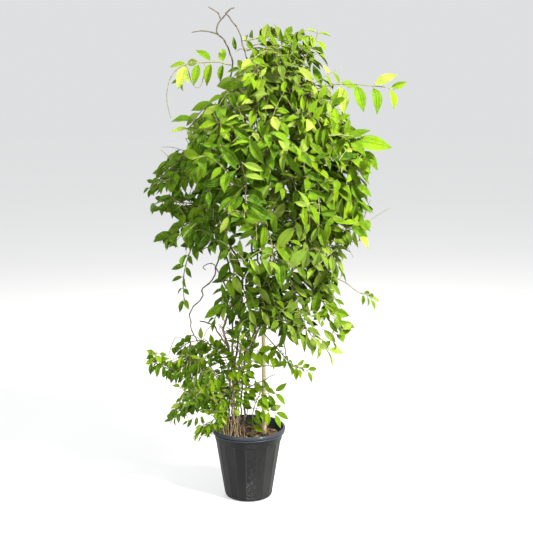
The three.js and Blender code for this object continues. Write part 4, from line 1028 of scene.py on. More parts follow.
def leaf_at(node, hand, turn, size, key, seed):
    """One leaf: it grows from the side of its node, hangs a little and turns its face outwards."""
    outward = node["side"] * hand
    sweep = node["sweep"] + turn[0] + draw(-10, 10, seed, key, 1)
    twist = turn[1] + draw(-14, 14, seed, key, 2)
    sag = node["sag"] + turn[2] + draw(-0.2, 0.3, seed, key, 3)
    length = size * turn[3] * draw(0.88, 1.08, seed, key, 4)
    jitter = np.array([draw(-0.4, 0.4, seed, key, which) for which in (7, 8, 9)])
    face = unit(node["face"] + jitter)
    lead = turned(outward, node["heading"], sweep) - UP * sag
    axis = unit(lead - face * (lead @ face))
    normal = turned(face, cross(face, axis), twist)
    stalk = max(STALK_LEAST, length * STALK_SHARE)
    base = node["centre"] + outward * (node["radius"] / 2 + STALK_ROOT) + axis * stalk
    blade = length - stalk
    shape = own_shape(LEAF_SHAPE, seed, key)
    return {
        **shape,
        "root": node["centre"], "outward": outward, "base": base, "axis": axis, "normal": normal,
        "width": cross(normal, axis), "blade": blade, "half": length * LEAF_WIDTH / 2,
        "tip": base + (axis - normal * shape["arch"]) * blade,
    }


def own_shape(ranges, *keys):
    """The values of a leaf's own shape, drawn from their ranges."""
    return {name: draw(low, high, *keys, which) for name, (which, low, high) in ranges.items()}


def finer(leaf, growth):
    """The leaf as the finish draws it: slimmer, longer and more folded, where the part's box has room."""
    growth = growth[0] + (growth[1] - growth[0]) * (leaf["phase"] * 7 % 1)
    if "sight" in leaf:
        growth = 1
    drawn = dict(leaf, blade=leaf["blade"] * growth, half=leaf["half"] * growth * LEAF_SLIMNESS)
    drawn["fold"] = leaf["fold"] * LEAF_FOLD
    if not inside_part(blade_points(drawn, PROBES)):
        drawn["blade"], drawn["half"] = leaf["blade"], leaf["half"] * LEAF_SLIMNESS
    return drawn


def inside_part(points):
    """True if all points, in millimetres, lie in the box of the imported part."""
    places = points * MM
    return (places.min(axis=0) >= CAD_LOW).all() and (places.max(axis=0) <= CAD_HIGH).all()


def blade_points(leaf, flat):
    """Points of the flat leaf, x across, y along and z through it, bent into one leaf's place."""
    x, y, z = flat.T
    length = leaf["blade"]
    ripple = leaf["wave"] * EDGE_WAVE * np.sin(2 * math.pi * (2.1 * y + leaf["phase"])) * x * np.abs(x)
    lift = leaf["fold"] * leaf["half"] * np.abs(x) + length * (ripple + z - leaf["arch"] * y**2)
    side = leaf["half"] * x + leaf["bend"] * length * y**2 * (1 - y)
    place = leaf["base"] + np.outer(length * y, leaf["axis"])
    return place + np.outer(side, leaf["width"]) + np.outer(lift, leaf["normal"])


class Crowd:
    """Points that leaves and stems have taken, kept in cells so that neighbours are found quickly."""

    def __init__(self):
        self.cells = {}

    def add(self, points):
        for point in points.tolist():
            cell = tuple(int(value // CROWD_CELL) for value in point)
            self.cells.setdefault(cell, []).append(point)

    def remove(self, points):
        for point in points.tolist():
            cell = tuple(int(value // CROWD_CELL) for value in point)
            self.cells[cell].remove(point)

    def near(self, points, reach):
        """True if one of the points lies within reach, at most a cell, of one that is taken."""
        steps = (-1, 0, 1)
        for point in points.tolist():
            x, y, z = (int(value // CROWD_CELL) for value in point)
            for cell in ((x + i, y + j, z + k) for i in steps for j in steps for k in steps):
                if any(math.dist(point, other) < reach for other in self.cells.get(cell, ())):
                    return True
        return False


def node_points(name):
    """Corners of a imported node's mesh, in millimetres."""
    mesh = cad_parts[name].data
    points = np.empty(len(mesh.vertices) * 3)
    mesh.vertices.foreach_get("co", points)
    return points.reshape(-1, 3) / MM


def seen_from_front(points):
    """Points drawn towards the camera onto the plane of the plant's middle."""
    camera = np.array(CAMERA_PLACE) / MM
    share = camera[1] / (camera[1] - points[:, 1:2])
    flat = camera + (points - camera) * share
    flat[:, 1] = 0
    return flat


def seen_at(across_picture, down_picture, depth):
    """The point at a depth, y in millimetres, that the camera sees at a place of the picture."""
    place = np.array(CAMERA_PLACE) / MM
    heading = unit(np.array(CAMERA_AIM) / MM - place)
    right = unit(cross(heading, UP))
    top = cross(right, heading)
    focal = LENS / SENSOR * PICTURE_WIDTH
    middle = PICTURE_WIDTH / 2
    ray = heading * focal + right * (across_picture - middle) - top * (down_picture - middle)
    return place + ray * (depth - place[1]) / ray[1]


def tree_of(points):
    """A tree that finds the nearest of some points."""
    tree = KDTree(len(points))
    for index, point in enumerate(points.tolist()):
        tree.insert(point, index)
    tree.balance()
    return tree


def wander(distances, length, amount, key):
    """Small bends that a smooth route leaves out, none of them at the stem's ends."""
    ease = np.clip(distances / BEND_EASE, 0, 1) * np.clip((length - distances) / BEND_EASE, 0, 1)
    shift = np.zeros((len(distances), 3))
    for axis, share in enumerate(BEND_SHARES):
        for wave, height in BENDS:
            turn = draw(0, 2 * math.pi, key, axis, wave)
            shift[:, axis] += share * height * np.sin(distances / wave * 2 * math.pi + turn)
    return shift * ease[:, None] * amount


def stem_samples(route, radii, swellings=(), bends=0, key=1):
    """Points and radii along a stem, a little thicker at its nodes and drawn in at its tip."""
    count = max(3, round(route.length / SAMPLE_STEP) + 1)
    distances = np.linspace(0, route.length, count)
    points = np.array([route.at(distance) for distance in distances])
    if bends:
        points += wander(distances, route.length, bends, key)
    sizes = radii[0] + (radii[1] - radii[0]) * distances / route.length
    for node in swellings:
        sizes = sizes * (1 + NODE_SWELL * np.exp(-(((distances - node) / NODE_SPREAD) ** 2)))
    sizes[-1] *= TIP_NARROWING
    return points, sizes


class Plant:
    """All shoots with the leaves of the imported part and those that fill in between."""

    def __init__(self):
        self.crowd = Crowd()
        self.shoots = {}
        for name in CANES:
            self.crowd.add(cane_samples(name)[0][0])
        shares = np.linspace(0, 1, STAKE_SAMPLES)
        self.crowd.add(np.array([STAKE_FOOT + (STAKE_TOP - STAKE_FOOT) * share for share in shares]))
        for seed, shoot in enumerate(SHOOTS, start=1):
            self.find_leaves(shoot, seed)
        leaf_points = np.vstack([blade_points(leaf, PROBES) for leaf in self.all_leaves()])
        self.packed = tree_of(leaf_points)
        self.outline = tree_of(seen_from_front(leaf_points))
        self.add_seen_leaves(leaf_points)

    def all_leaves(self):
        return [leaf for grown in self.shoots.values() for leaf in grown["leaves"]]

    def find_leaves(self, shoot, seed):
        """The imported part's leaves are those whose tip is a corner of its mesh."""
        owner = shoot["on"] if "branch" in shoot else shoot["name"]
        corners = tree_of(node_points(owner))
        route = shoot_route(shoot)
        radius = shoot.get("radius", BRANCH_RADIUS if "branch" in shoot else SHOOT_RADIUS)
        radii = (radius, BARE_TIP_RADIUS if "last" in shoot else SHOOT_TIP_RADIUS)
        stations = shoot_stations(shoot, route, radii)
        STEMS[shoot["name"]] = [(station["centre"], station["centre"][None]) for station in stations]
        grown = {
            "owner": owner, "leaves": [], "nodes": [], "stems": [], "colour": shoot.get("colour", "bright"),
            "route": route, "seed": seed,
        }
        side = None
        for station in stations:
            face = np.array(shoot["face"]) if "face" in shoot else facing(station["centre"])
            heading = route.heading(station["distance"])
            side = across(heading, side, face)
            if "pair" not in station:
                continue
            node = {
                "centre": route.at(station["distance"] + NODE_LENGTH / 2), "heading": heading, "side": side,
                "radius": station["radius"], "face": unit(face), "sag": shoot.get("sag", SAG),
                "sweep": END_SWEEP if station["last"] else SIDE_SWEEP, "size": shoot["leaf"],
                "distance": station["distance"] + NODE_LENGTH / 2,
            }
            grown["nodes"].append(node)
            size = shoot["leaf"] * (TIP_LEAF if station["distance"] > route.length * TIP_STRETCH else 1)
            for hand in (1, -1):
                key = station["pair"] * 2 + (hand < 0)
                for turn in TURNS:
                    leaf = leaf_at(node, hand, turn, size, key, seed)
                    if corners.find(leaf["tip"])[2] < FOUND:
                        grown["leaves"].append(leaf)
                        self.crowd.add(blade_points(leaf, PROBES))
                        break
        stem = stem_samples(route, radii, [node["distance"] for node in grown["nodes"]])
        grown["stems"].append(stem)
        self.crowd.add(stem[0])
        self.shoots[shoot["name"]] = grown

    def seen_inside(self, points):
        """True where the camera sees points within the crown's outline or close to a packed leaf."""
        for place in seen_from_front(points):
            x, _, z = place.tolist()
            heights, left, right = CROWN_OUTLINE.T
            if any(start < x < end and foot < z < head for start, end, foot, head in OPENINGS):
                return False
            dense = heights[0] < z < heights[-1]
            dense = dense and np.interp(z, heights, left) < x < np.interp(z, heights, right)
            reach = OUTLINE_REACH if z < NECK_HEIGHT else NECK_REACH
            reach = BUSH_REACH if z < BUSH_HEIGHT else reach
            if not dense and self.outline.find(place)[2] > reach:
                return False
        return True

    def room_for(self, leaf, room):
        """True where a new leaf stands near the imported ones, clear of all that has grown and of the pot."""
        if self.packed.find(leaf["tip"])[2] > FILL_REACH:
            return False
        points = blade_points(leaf, PROBES)
        if not inside_part(points):
            return False
        low = points[:, 2].min()
        if low < POT_HEIGHT / MM + POT_ROOM and min(np.hypot(points[:, 0], points[:, 1])) < POT_KEEP:
            return False
        if self.hides(points[OUTLINE_PROBES]) or not self.seen_inside(points[OUTLINE_PROBES]):
            return False
        return not self.crowd.near(points, room)

    def hides(self, points):
        """True where points stand between the camera and a leaf placed by sight."""
        for depth, place in zip(points[:, 1], seen_from_front(points)):
            _, index, distance = self.sights.find(place)
            if distance < SIGHT_ROOM and depth < self.sight_depths[index] + FRONT_GAP:
                return True
        return False

    def add_seen_leaves(self, leaf_points):
        """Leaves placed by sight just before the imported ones, each on a twig from the nearest stem."""
        stems = []
        for name, grown in self.shoots.items():
            stems += [(name, point) for point in grown["stems"][0][0]]
        tree = tree_of(np.array([point for _, point in stems]))
        sights = []
        for key, (foot_x, foot_y, tip_x, tip_y, tone) in enumerate(SEEN_LEAVES, start=1):
            middle = seen_at((foot_x + tip_x) / 2, (foot_y + tip_y) / 2, 0)
            near = self.outline.find_range(middle, FRONT_SEARCH)
            if not near:
                near = [self.outline.find(middle)]
            depth = min(leaf_points[index][1] for _, index, _ in near) - FRONT_GAP - key % 3 * FRONT_STAGGER
            depth = max(depth, CAD_LOW[1] / MM + FRONT_KEEP)
            base = seen_at(foot_x, foot_y, depth + draw(*SEEN_FOOT, key, 1))
            tip = seen_at(tip_x, tip_y, depth + draw(*SEEN_TIP, key, 2))
            blade = float(np.linalg.norm(tip - base))
            axis = (tip - base) / blade
            face = np.array([draw(*SEEN_TURN, key, 3), -1, draw(*SEEN_RISE, key, 4)])
            normal = unit(face - axis * (face @ axis))
            foot = base - axis * (STALK_LEAST + blade * STALK_SHARE * 0.5)
            name, start = stems[tree.find(foot)[1]]
            gap = float(np.linalg.norm(foot - start))
            leaf = {
                **own_shape(SEEN_SHAPE, key), "sight": tone,
                "root": foot, "outward": axis, "base": base, "axis": axis, "normal": normal, "tip": tip,
                "width": cross(normal, axis), "blade": blade, "half": blade * draw(*SEEN_HALF, key, 5),
            }
            points = blade_points(leaf, PROBES)
            if not inside_part(points):
                continue
            grown = self.shoots[name]
            grown["leaves"].append(leaf)
            self.crowd.add(points)
            sights.append(points)
            bow = (start + foot) / 2 + unit(face) * gap * SEEN_BOW[0] + UP * gap * SEEN_BOW[1]
            twig = Route([start, bow, foot, base])
            grown["stems"].append(stem_samples(twig, (TWIG_RADIUS, TWIG_TIP_RADIUS), (), SEEN_BENDS, key))
        sights = np.vstack(sights)
        self.sights = tree_of(seen_from_front(sights))
        self.sight_depths = sights[:, 1]

    def try_leaf(self, grown, node, hand, size, key, seed, room=LEAF_ROOM):
        """Adds a leaf to a shoot or twig, turned the first way that has room."""
        for turn in TURNS:
            leaf = leaf_at(node, hand, turn, size, key, seed)
            if self.room_for(leaf, room):
                grown["leaves"].append(leaf)
                self.crowd.add(blade_points(leaf, PROBES))
                return True
        return False

    def fill_between(self, grown):
        """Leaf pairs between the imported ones, turned a quarter as the plant's own pairs are."""
        nodes = grown["nodes"]
        seed = grown["seed"] + 100
        for order, (low, high) in enumerate(zip(nodes, nodes[1:]), start=1):
            distance = (low["distance"] + high["distance"]) / 2
            centre, heading = grown["route"].at(distance), grown["route"].heading(distance)
            between = dict(low, centre=centre, heading=heading, sweep=BETWEEN_SWEEP, distance=distance)
            size = low["size"] * BETWEEN_SIZE
            if low["size"] < ROW_LEAF:
                self.try_pair(grown, between, size, order, seed + 100, ROW_ROOM)
                continue
            between["sag"] = draw(*FILL_SAG, seed, order, 50)
            between["side"] = unit(cross(low["side"], heading))
            between["face"] = unit(low["face"] + UP * FILL_RISE)
            self.try_pair(grown, between, size, order, seed)
            between["side"] = low["side"]
            between["face"] = low["face"]
            self.try_pair(grown, between, size, order, seed + 100)

    def try_pair(self, grown, node, size, order, seed, room=LEAF_ROOM):
        """Tries a leaf on each side of a place."""
        for hand in (1, -1):
            self.try_leaf(grown, node, hand, size, order * 2 + (hand < 0), seed, room)

    def fill_twigs(self, grown, nodes, generation):
        """Short leafy twigs from the leaf nodes, where there is room for them."""
        added = []
        seed = grown["seed"] + 300 * generation
        for order, node in enumerate(nodes, start=1):
            for hand in (1, -1):
                for attempt in range(TWIG_TRIES):
                    key = order * 20 + attempt * 2 + (hand < 0)
                    twig = self.try_twig(grown, node, hand, key, seed)
                    if twig:
                        added += twig
                        break
        return added

    def try_twig(self, grown, node, hand, key, seed):
        """Adds a twig with its leaves to a shoot and gives its nodes, or adds nothing and gives None."""
        reach = draw(*TWIG_REACH, seed, key, 1) * node["size"] / TWIG_LEAF
        in_rows = node["size"] < ROW_LEAF
        lead = node["side"] * hand * draw(*TWIG_SIDE, seed, key, 2)
        lead = lead + node["heading"] * draw(*TWIG_FORWARD, seed, key, 3)
        lift = draw(*(ROW_LIFT if in_rows else TWIG_LIFT), seed, key, 5)
        lead = unit(lead + node["face"] * draw(*TWIG_FACE, seed, key, 4) + UP * lift)
        drop = draw(*TWIG_DROP, seed, key, 6)
        points = [node["centre"] + reach * (lead * share - UP * drop * share**2) for share in TWIG_POINTS]
        route = Route(points)
        radii = (TWIG_RADIUS, TWIG_TIP_RADIUS)
        distances = np.arange(TWIG_ROOT, route.length, SAMPLE_STEP)
        samples = np.array([route.at(distance) for distance in distances])
        if len(samples) < 3 or self.crowd.near(samples, TWIG_ROOM) or not inside_part(samples):
            return None
        if self.packed.find(points[-1])[2] > FILL_REACH:
            return None
        trial = {"leaves": []}
        count = max(2, round((route.length - TWIG_FIRST) / (TWIG_PITCH * node["size"] / TWIG_LEAF)) + 1)
        spots = np.linspace(min(TWIG_FIRST, route.length * 0.4), route.length - 3, count)
        nodes = []
        side = None
        for order, distance in enumerate(spots, start=1):
            centre, heading = route.at(distance), route.heading(distance)
            face = unit(node["face"] + UP * TWIG_RISE)
            side = across(heading, side, face)
            quarter = order % 2 == 0 and order < count and not in_rows
            taper = 1 - TWIG_TAPER * (distance / route.length)
            nodes.append({
                "centre": centre, "heading": heading, "radius": radii[1], "face": face, "distance": distance,
                "side": unit(cross(side, heading)) if quarter else side,
                "sag": ROW_SAG if in_rows else draw(*FILL_SAG, seed, key, 40 + order),
                "sweep": END_SWEEP if order == count else TWIG_SWEEP,
                "size": node["size"] * draw(*TWIG_SIZES, seed, key, 20 + order) * taper,
            })
        for order, young in enumerate(nodes, start=1):
            for way in (1, -1):
                leaf_key = key * 10 + order * 2 + (way < 0)
                room = ROW_ROOM if in_rows else LEAF_ROOM
                self.try_leaf(trial, young, way, young["size"], leaf_key, seed + 1000, room)
        if len(trial["leaves"]) < 2:
            for leaf in trial["leaves"]:
                self.crowd.remove(blade_points(leaf, PROBES))
            return None
        grown["leaves"] += trial["leaves"]
        grown["stems"].append(stem_samples(route, radii, spots))
        self.crowd.add(samples)
        return nodes

    def add_sprig(self, owner, carrier, leaf, pitch, sag, points, seed):
        """A listed leafy sprig, or a bare strand, which starts on its carrier's route."""
        grown = self.shoots[owner]
        route = Route(CANES[carrier]["points"]) if carrier in CANES else self.shoots[carrier]["route"]
        sprig = Route([route.nearest(points[0]), *points])
        spots = np.arange(sprig.length - 4, max(8, sprig.length * 0.2), -pitch)[::-1] if leaf else ()
        side = None
        for order, distance in enumerate(spots, start=1):
            centre, heading = sprig.at(distance), sprig.heading(distance)
            face = unit(facing(centre) + np.array(SPRIG_FACE))
            side = across(heading, side, face)
            node = {
                "centre": centre, "heading": heading, "side": side, "radius": SPRIG_NODE, "face": face,
                "sweep": END_SWEEP if order == len(spots) else SPRIG_SWEEP, "sag": sag, "size": leaf,
                "distance": distance,
            }
            for hand in (1, -1):
                for turn in TURNS:
                    young = leaf_at(node, hand, turn, leaf, order * 2 + (hand < 0), seed)
                    probes = blade_points(young, PROBES)
                    if not self.crowd.near(probes, ROW_ROOM) and inside_part(probes):
                        grown["leaves"].append(young)
                        self.crowd.add(probes)
                        break
        grown["stems"].append(stem_samples(sprig, SPRIG_RADII, spots, SPRIG_BENDS, seed))

    def fill(self):
        """Adds the sprigs, then fills the plant in rounds, so that no shoot takes all the room."""
        for seed, sprig in enumerate(SPRIGS, start=5000):
            self.add_sprig(*sprig, seed)
        for name, grown in self.shoots.items():
            if name not in OPEN_SHOOTS:
                self.fill_between(grown)
        shoots = [grown for name, grown in self.shoots.items() if name not in OPEN_SHOOTS + ROW_SHOOTS]
        young = [(grown, self.fill_twigs(grown, grown["nodes"], 1)) for grown in shoots]
        for grown, nodes in young:
            self.fill_twigs(grown, nodes, 2)


def deselect():
    if bpy.context.object and bpy.context.object.mode != "OBJECT":
        bpy.ops.object.mode_set(mode="OBJECT")
    bpy.ops.object.select_all(action="DESELECT")


def pick(obj, kind, test):
    """In edit mode, selects only the corners, edges or faces that pass a test."""
    bpy.ops.mesh.select_mode(type=kind)
    bpy.ops.mesh.select_all(action="DESELECT")
    mesh = bmesh.from_edit_mesh(obj.data)
    elements = {"VERT": mesh.verts, "EDGE": mesh.edges, "FACE": mesh.faces}[kind]
    for element in elements:
        element.select_set(test(element))
    mesh.select_flush_mode()
    bmesh.update_edit_mesh(obj.data)


def apply_modifier(obj, kind, **values):
    modifier = obj.modifiers.new(kind.title(), kind)
    for name, value in values.items():
        setattr(modifier, name, value)
    bpy.context.view_layer.objects.active = obj
    bpy.ops.object.modifier_apply(modifier=modifier.name)


def select_only(*objects):
    deselect()
    for obj in objects:
        obj.select_set(True)
    bpy.context.view_layer.objects.active = objects[0]


def settle(obj):
    """Puts a piece's place into its mesh, so that its object stands at the origin, unturned."""
    select_only(obj)
    bpy.ops.object.transform_apply(location=True, rotation=True, scale=True)


def keep(obj, name, slot, *nodes):
    """Names a finished piece and says what it rides on and which nodes it stands for. The slot is not used.
    """
    obj.name = name
    obj.data.name = name
    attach(obj, BODY)
    if nodes:
        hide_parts(*nodes)


def smooth(obj, degrees):
    """Shades a piece smooth, save at edges sharper than so many degrees."""
    select_only(obj)
    bpy.ops.object.shade_smooth_by_angle(angle=math.radians(degrees))


def join(objects):
    select_only(*objects)
    if len(objects) > 1:
        bpy.ops.object.join()
    return bpy.context.object


def dress(obj, *materials):
    obj.data.materials.clear()
    for material in materials:
        obj.data.materials.append(material)


def tubes(name, stems, rounding, materials):
    """Stems as round tubes: each is its points and radii in millimetres, and which material it takes."""
    deselect()
    bpy.ops.curve.primitive_nurbs_path_add(location=(0, 0, 0))
    obj = bpy.context.object
    obj.name = name
    curve = obj.data
    curve.splines.clear()
    curve.bevel_depth = MM
    curve.bevel_resolution = rounding
    curve.use_fill_caps = True
    curve.twist_mode = "MINIMUM"
    for points, radii, material in stems:
        spline = curve.splines.new("POLY")
        spline.points.add(len(points) - 1)
        places = np.hstack([np.asarray(points) * MM, np.ones((len(points), 1))])
        spline.points.foreach_set("co", places.ravel())
        spline.points.foreach_set("radius", np.asarray(radii, float))
        spline.material_index = material
    dress(obj, *materials)
    select_only(obj)
    bpy.ops.object.convert(target="MESH")
    obj = bpy.context.object
    bpy.ops.object.mode_set(mode="EDIT")
    bpy.ops.mesh.select_all(action="SELECT")
    bpy.ops.mesh.remove_doubles(threshold=MM * 0.01)
    bpy.ops.mesh.normals_make_consistent(inside=False)
    bpy.ops.object.mode_set(mode="OBJECT")
    smooth(obj, 50)
    return obj


def leaf_master():
    """The flat leaf that all others are copied from: a closed lens one unit long and two wide."""
    deselect()
    bpy.ops.mesh.primitive_grid_add(
        x_subdivisions=LEAF_COLUMNS, y_subdivisions=len(LEAF_ROWS) - 1, size=2, location=(0, 0, 0)
    )
    obj = bpy.context.object
    obj.name = "leaf_master"
    bpy.ops.object.mode_set(mode="EDIT")
    spacing = 2 / (len(LEAF_ROWS) - 1)
    for index, (along, half_width) in enumerate(LEAF_ROWS):
        height = index * spacing - 1
        pick(obj, "VERT", lambda corner: abs(corner.co.y - height) < CLOSE and not corner.tag)
        for corner in bmesh.from_edit_mesh(obj.data).verts:
            corner.tag = corner.tag or corner.select
        centre = (0, height, 0)
        bpy.ops.transform.resize(value=(half_width, 1, 1), center_override=centre)
        bpy.ops.transform.translate(value=(0, along - height, 0))
    bpy.ops.mesh.select_all(action="SELECT")
    bpy.ops.mesh.remove_doubles(threshold=CLOSE)
    bpy.ops.object.mode_set(mode="OBJECT")
    rim = {corner for edge in rim_edges(obj.data) for corner in edge.vertices}
    inner = [corner.index for corner in obj.data.vertices if corner.index not in rim]
    obj.vertex_groups.new(name="thick").add(inner, 1, "REPLACE")
    apply_modifier(
        obj, "SOLIDIFY", thickness=LEAF_THICKNESS, offset=0, use_rim=False, vertex_group="thick",
        thickness_vertex_group=0,
    )
    obj.vertex_groups.clear()
    bpy.ops.object.mode_set(mode="EDIT")
    bpy.ops.mesh.select_all(action="SELECT")
    bpy.ops.mesh.remove_doubles(threshold=CLOSE / 10)
    bpy.ops.mesh.normals_make_consistent(inside=False)
    pick(obj, "EDGE", lambda edge: is_rim(edge) or all(abs(corner.co.x) < CLOSE for corner in edge.verts))
    bpy.ops.mesh.mark_sharp()
    bpy.ops.object.mode_set(mode="OBJECT")
    bpy.ops.object.shade_smooth()
    map_leaf(obj.data)
    return obj


def map_leaf(mesh):
    """Gives the leaf its map, how near each corner is to the rim, and which skin is the underside."""
    widths = np.array(LEAF_ROWS)
    while mesh.uv_layers:
        mesh.uv_layers.remove(mesh.uv_layers[0])
    layer = mesh.uv_layers.new(name="leaf")
    skin = mesh.attributes.new("leaf_skin", "FLOAT_COLOR", "CORNER")
    mesh.attributes.new("leaf_tone_light_and_shade", "FLOAT_COLOR", "POINT")
    for face in mesh.polygons:
        under = float(face.normal.z < 0)
        for corner in face.loop_indices:
            x, y, _ = mesh.vertices[mesh.loops[corner].vertex_index].co
            layer.data[corner].uv = (x / 2 + 0.5, y)
            near = abs(x) / max(0.05, np.interp(y, widths[:, 0], widths[:, 1]))
            skin.data[corner].color = (min(1, near), under, 0, 1)


def rim_edges(mesh):
    """Edges that only one face has."""
    uses = {}
    for face in mesh.polygons:
        for key in face.edge_keys:
            uses[key] = uses.get(key, 0) + 1
    return [edge for edge in mesh.edges if uses.get(edge.key) == 1]


def is_rim(edge):
    """True for an edge of the closed leaf where its upper and lower skins meet."""
    return len({face.normal.z > 0 for face in edge.link_faces}) == 2


def socket_group(name, inputs, outputs):
    """A new node group with the nodes of its inputs and its outputs."""
    group = bpy.data.node_groups.new(name, "ShaderNodeTree")
    for direction, sockets in (("INPUT", inputs), ("OUTPUT", outputs)):
        for socket_name, kind, *value in sockets:
            socket = group.interface.new_socket(
                name=socket_name, in_out=direction, socket_type="NodeSocket" + kind
            )
            if value:
                socket.default_value = value[0]
    start = group.nodes.new("NodeGroupInput")
    end = group.nodes.new("NodeGroupOutput")
    return group, start, end


class Wiring:
    """Short ways to add and join the nodes of one material or group."""

    def __init__(self, tree):
        self.tree = tree

    def node(self, kind, values=None, **settings):
        made = self.tree.nodes.new("ShaderNode" + kind)
        for name, value in settings.items():
            setattr(made, name, value)
        for name, value in (values or {}).items():
            if isinstance(value, bpy.types.NodeSocket):
                self.link(value, made.inputs[name])
            else:
                made.inputs[name].default_value = value
        return made

    def link(self, start, end):
        self.tree.links.new(start, end)

    def math(self, operation, *values, clamp=False):
        made = self.node("Math", dict(enumerate(values)), operation=operation, use_clamp=clamp)
        return made.outputs[0]

    def times(self, *values, clamp=False):
        return self.math("MULTIPLY", *values, clamp=clamp)

    def plus(self, *values, clamp=False):
        return self.math("ADD", *values, clamp=clamp)

    def minus(self, *values, clamp=False):
        return self.math("SUBTRACT", *values, clamp=clamp)

    def blend(self, share, first, second, way="MIX"):
        values = {0: share, 6: first, 7: second}
        made = self.node("Mix", values, data_type="RGBA", blend_type=way)
        return made.outputs[2]

    def band(self, value, low, high, start=0.0, end=1.0):
        """Runs smoothly from start to end as a value goes from low to high."""
        values = {"Value": value, "From Min": low, "From Max": high, "To Min": start, "To Max": end}
        made = self.node("MapRange", values, interpolation_type="SMOOTHSTEP")
        return made.outputs[0]

    def channels(self, attribute):
        """The three channels of a colour attribute."""
        colour = self.node("Attribute", attribute_name=attribute).outputs["Color"]
        return self.node("SeparateColor", {0: colour}).outputs[:3]

    def noise(self, place, scale, detail=4.0, stretch=(1, 1, 1), roughness=0.55):
        if stretch != (1, 1, 1):
            place = self.node("Mapping", {"Vector": place, "Scale": stretch}).outputs[0]
        values = {"Vector": place, "Scale": scale, "Detail": detail, "Roughness": roughness}
        return self.node("TexNoise", values).outputs["Fac"]


def leaf_surface_group():
    """Veins, quilting, age and underside of a leaf, from its own map and attributes. The quilting, the ages
    and the leaves deep in the crown carry painted light and shade.
    """
    group, start, end = socket_group(
        "Leaf surface",
        [
            ("Young", "Color"), ("Mature", "Color"), ("Vein", "Color"), ("Underside", "Color"),
            ("Relief", "Float"),
        ],
        [("Color", "Color"), ("Glow", "Color"), ("Roughness", "Float"), ("Height", "Float")],
    )
    wires = Wiring(group)
    place = wires.node("SeparateXYZ", {0: wires.node("UVMap", uv_map="leaf").outputs[0]})
    across_leaf = wires.math("ABSOLUTE", wires.minus(wires.times(place.outputs[0], 2.0), 1.0))
    along = place.outputs[1]
    # The tone's channels: tint, age with painted light, and painted shade deep in the crown
    tint, age_and_light, inner = wires.channels("leaf_tone_light_and_shade")
    near_rim, under_skin, _ = wires.channels("leaf_skin")
    solid = wires.node("TexCoord").outputs["Object"]
    drift = wires.noise(solid, DRIFT_SCALE, 2.0)
    forward = wires.times(across_leaf, VEIN_SLOPE)
    step = wires.minus(wires.times(along, VEIN_COUNT), forward)
    step = wires.math("FRACT", wires.plus(step, wires.times(drift, 0.5)))
    ridge = wires.times(wires.math("ABSOLUTE", wires.minus(step, 0.5)), 2.0)
    side_vein = wires.times(wires.band(ridge, *VEIN_EDGES), wires.band(across_leaf, *VEIN_ENDS))
    rib_width = wires.band(along, 0.0, 1.0, *RIB_WIDTHS)
    rib = wires.minus(1.0, wires.math("DIVIDE", across_leaf, rib_width, clamp=True), clamp=True)
    rib = wires.band(rib, 0.0, 0.5)
    veins = wires.math("MAXIMUM", wires.times(side_vein, 0.5), rib)
    mottle = wires.noise(solid, MOTTLE_SCALE, 3.0)
    age_and_light = wires.plus(age_and_light, wires.times(wires.minus(mottle, 0.5), 0.2))
    age_and_light = wires.plus(age_and_light, wires.times(wires.minus(drift, 0.5), 0.5), clamp=True)
    colour = wires.blend(age_and_light, start.outputs["Young"], start.outputs["Mature"])
    hue = wires.band(tint, 0.0, 1.0, *LEAF_HUES)
    value = wires.band(tint, 0.0, 1.0, *LEAF_VALUES)
    # Painted shade: leaves deep in the crown are darkened
    value = wires.times(value, wires.band(inner, 0.0, 1.0, 1.0, PAINTED_SHADE_VALUE))
    shifted = wires.node("HueSaturation", {"Hue": hue, "Value": value, "Color": colour})
    # Painted shade by the side veins and painted light between them, following the quilted relief
    quilt_shading = wires.band(ridge, 0.1, 0.9, *QUILT_PAINTED_SHADING)
    dark = wires.node("HueSaturation", {"Value": quilt_shading, "Color": shifted.outputs[0]})
    veined = wires.blend(wires.times(veins, 0.8), dark.outputs[0], start.outputs["Vein"])
    under = wires.blend(0.5, shifted.outputs[0], start.outputs["Underside"])
    under = wires.blend(wires.times(veins, 0.75), under, start.outputs["Vein"])
    surface = wires.blend(under_skin, veined, under)
    rim = wires.band(near_rim, *PALE_EDGE, 0.0, 0.35)
    surface = wires.blend(rim, surface, start.outputs["Vein"])
    glow = wires.blend(wires.times(veins, 0.4), shifted.outputs[0], dark.outputs[0], "MULTIPLY")
    rough = wires.plus(wires.band(mottle, 0.3, 0.7, *LEAF_ROUGHNESS), wires.times(under_skin, 0.2))
    swell = wires.minus(1.0, wires.math("POWER", ridge, 2.0))
    swell = wires.times(swell, wires.band(across_leaf, 0.0, 0.25))
    height = wires.minus(wires.times(swell, 0.7), wires.times(rib, 0.8))
    height = wires.times(height, start.outputs["Relief"])
    for name, socket in (("Color", surface), ("Glow", glow), ("Roughness", rough), ("Height", height)):
        wires.link(socket, end.inputs[name])
    return group


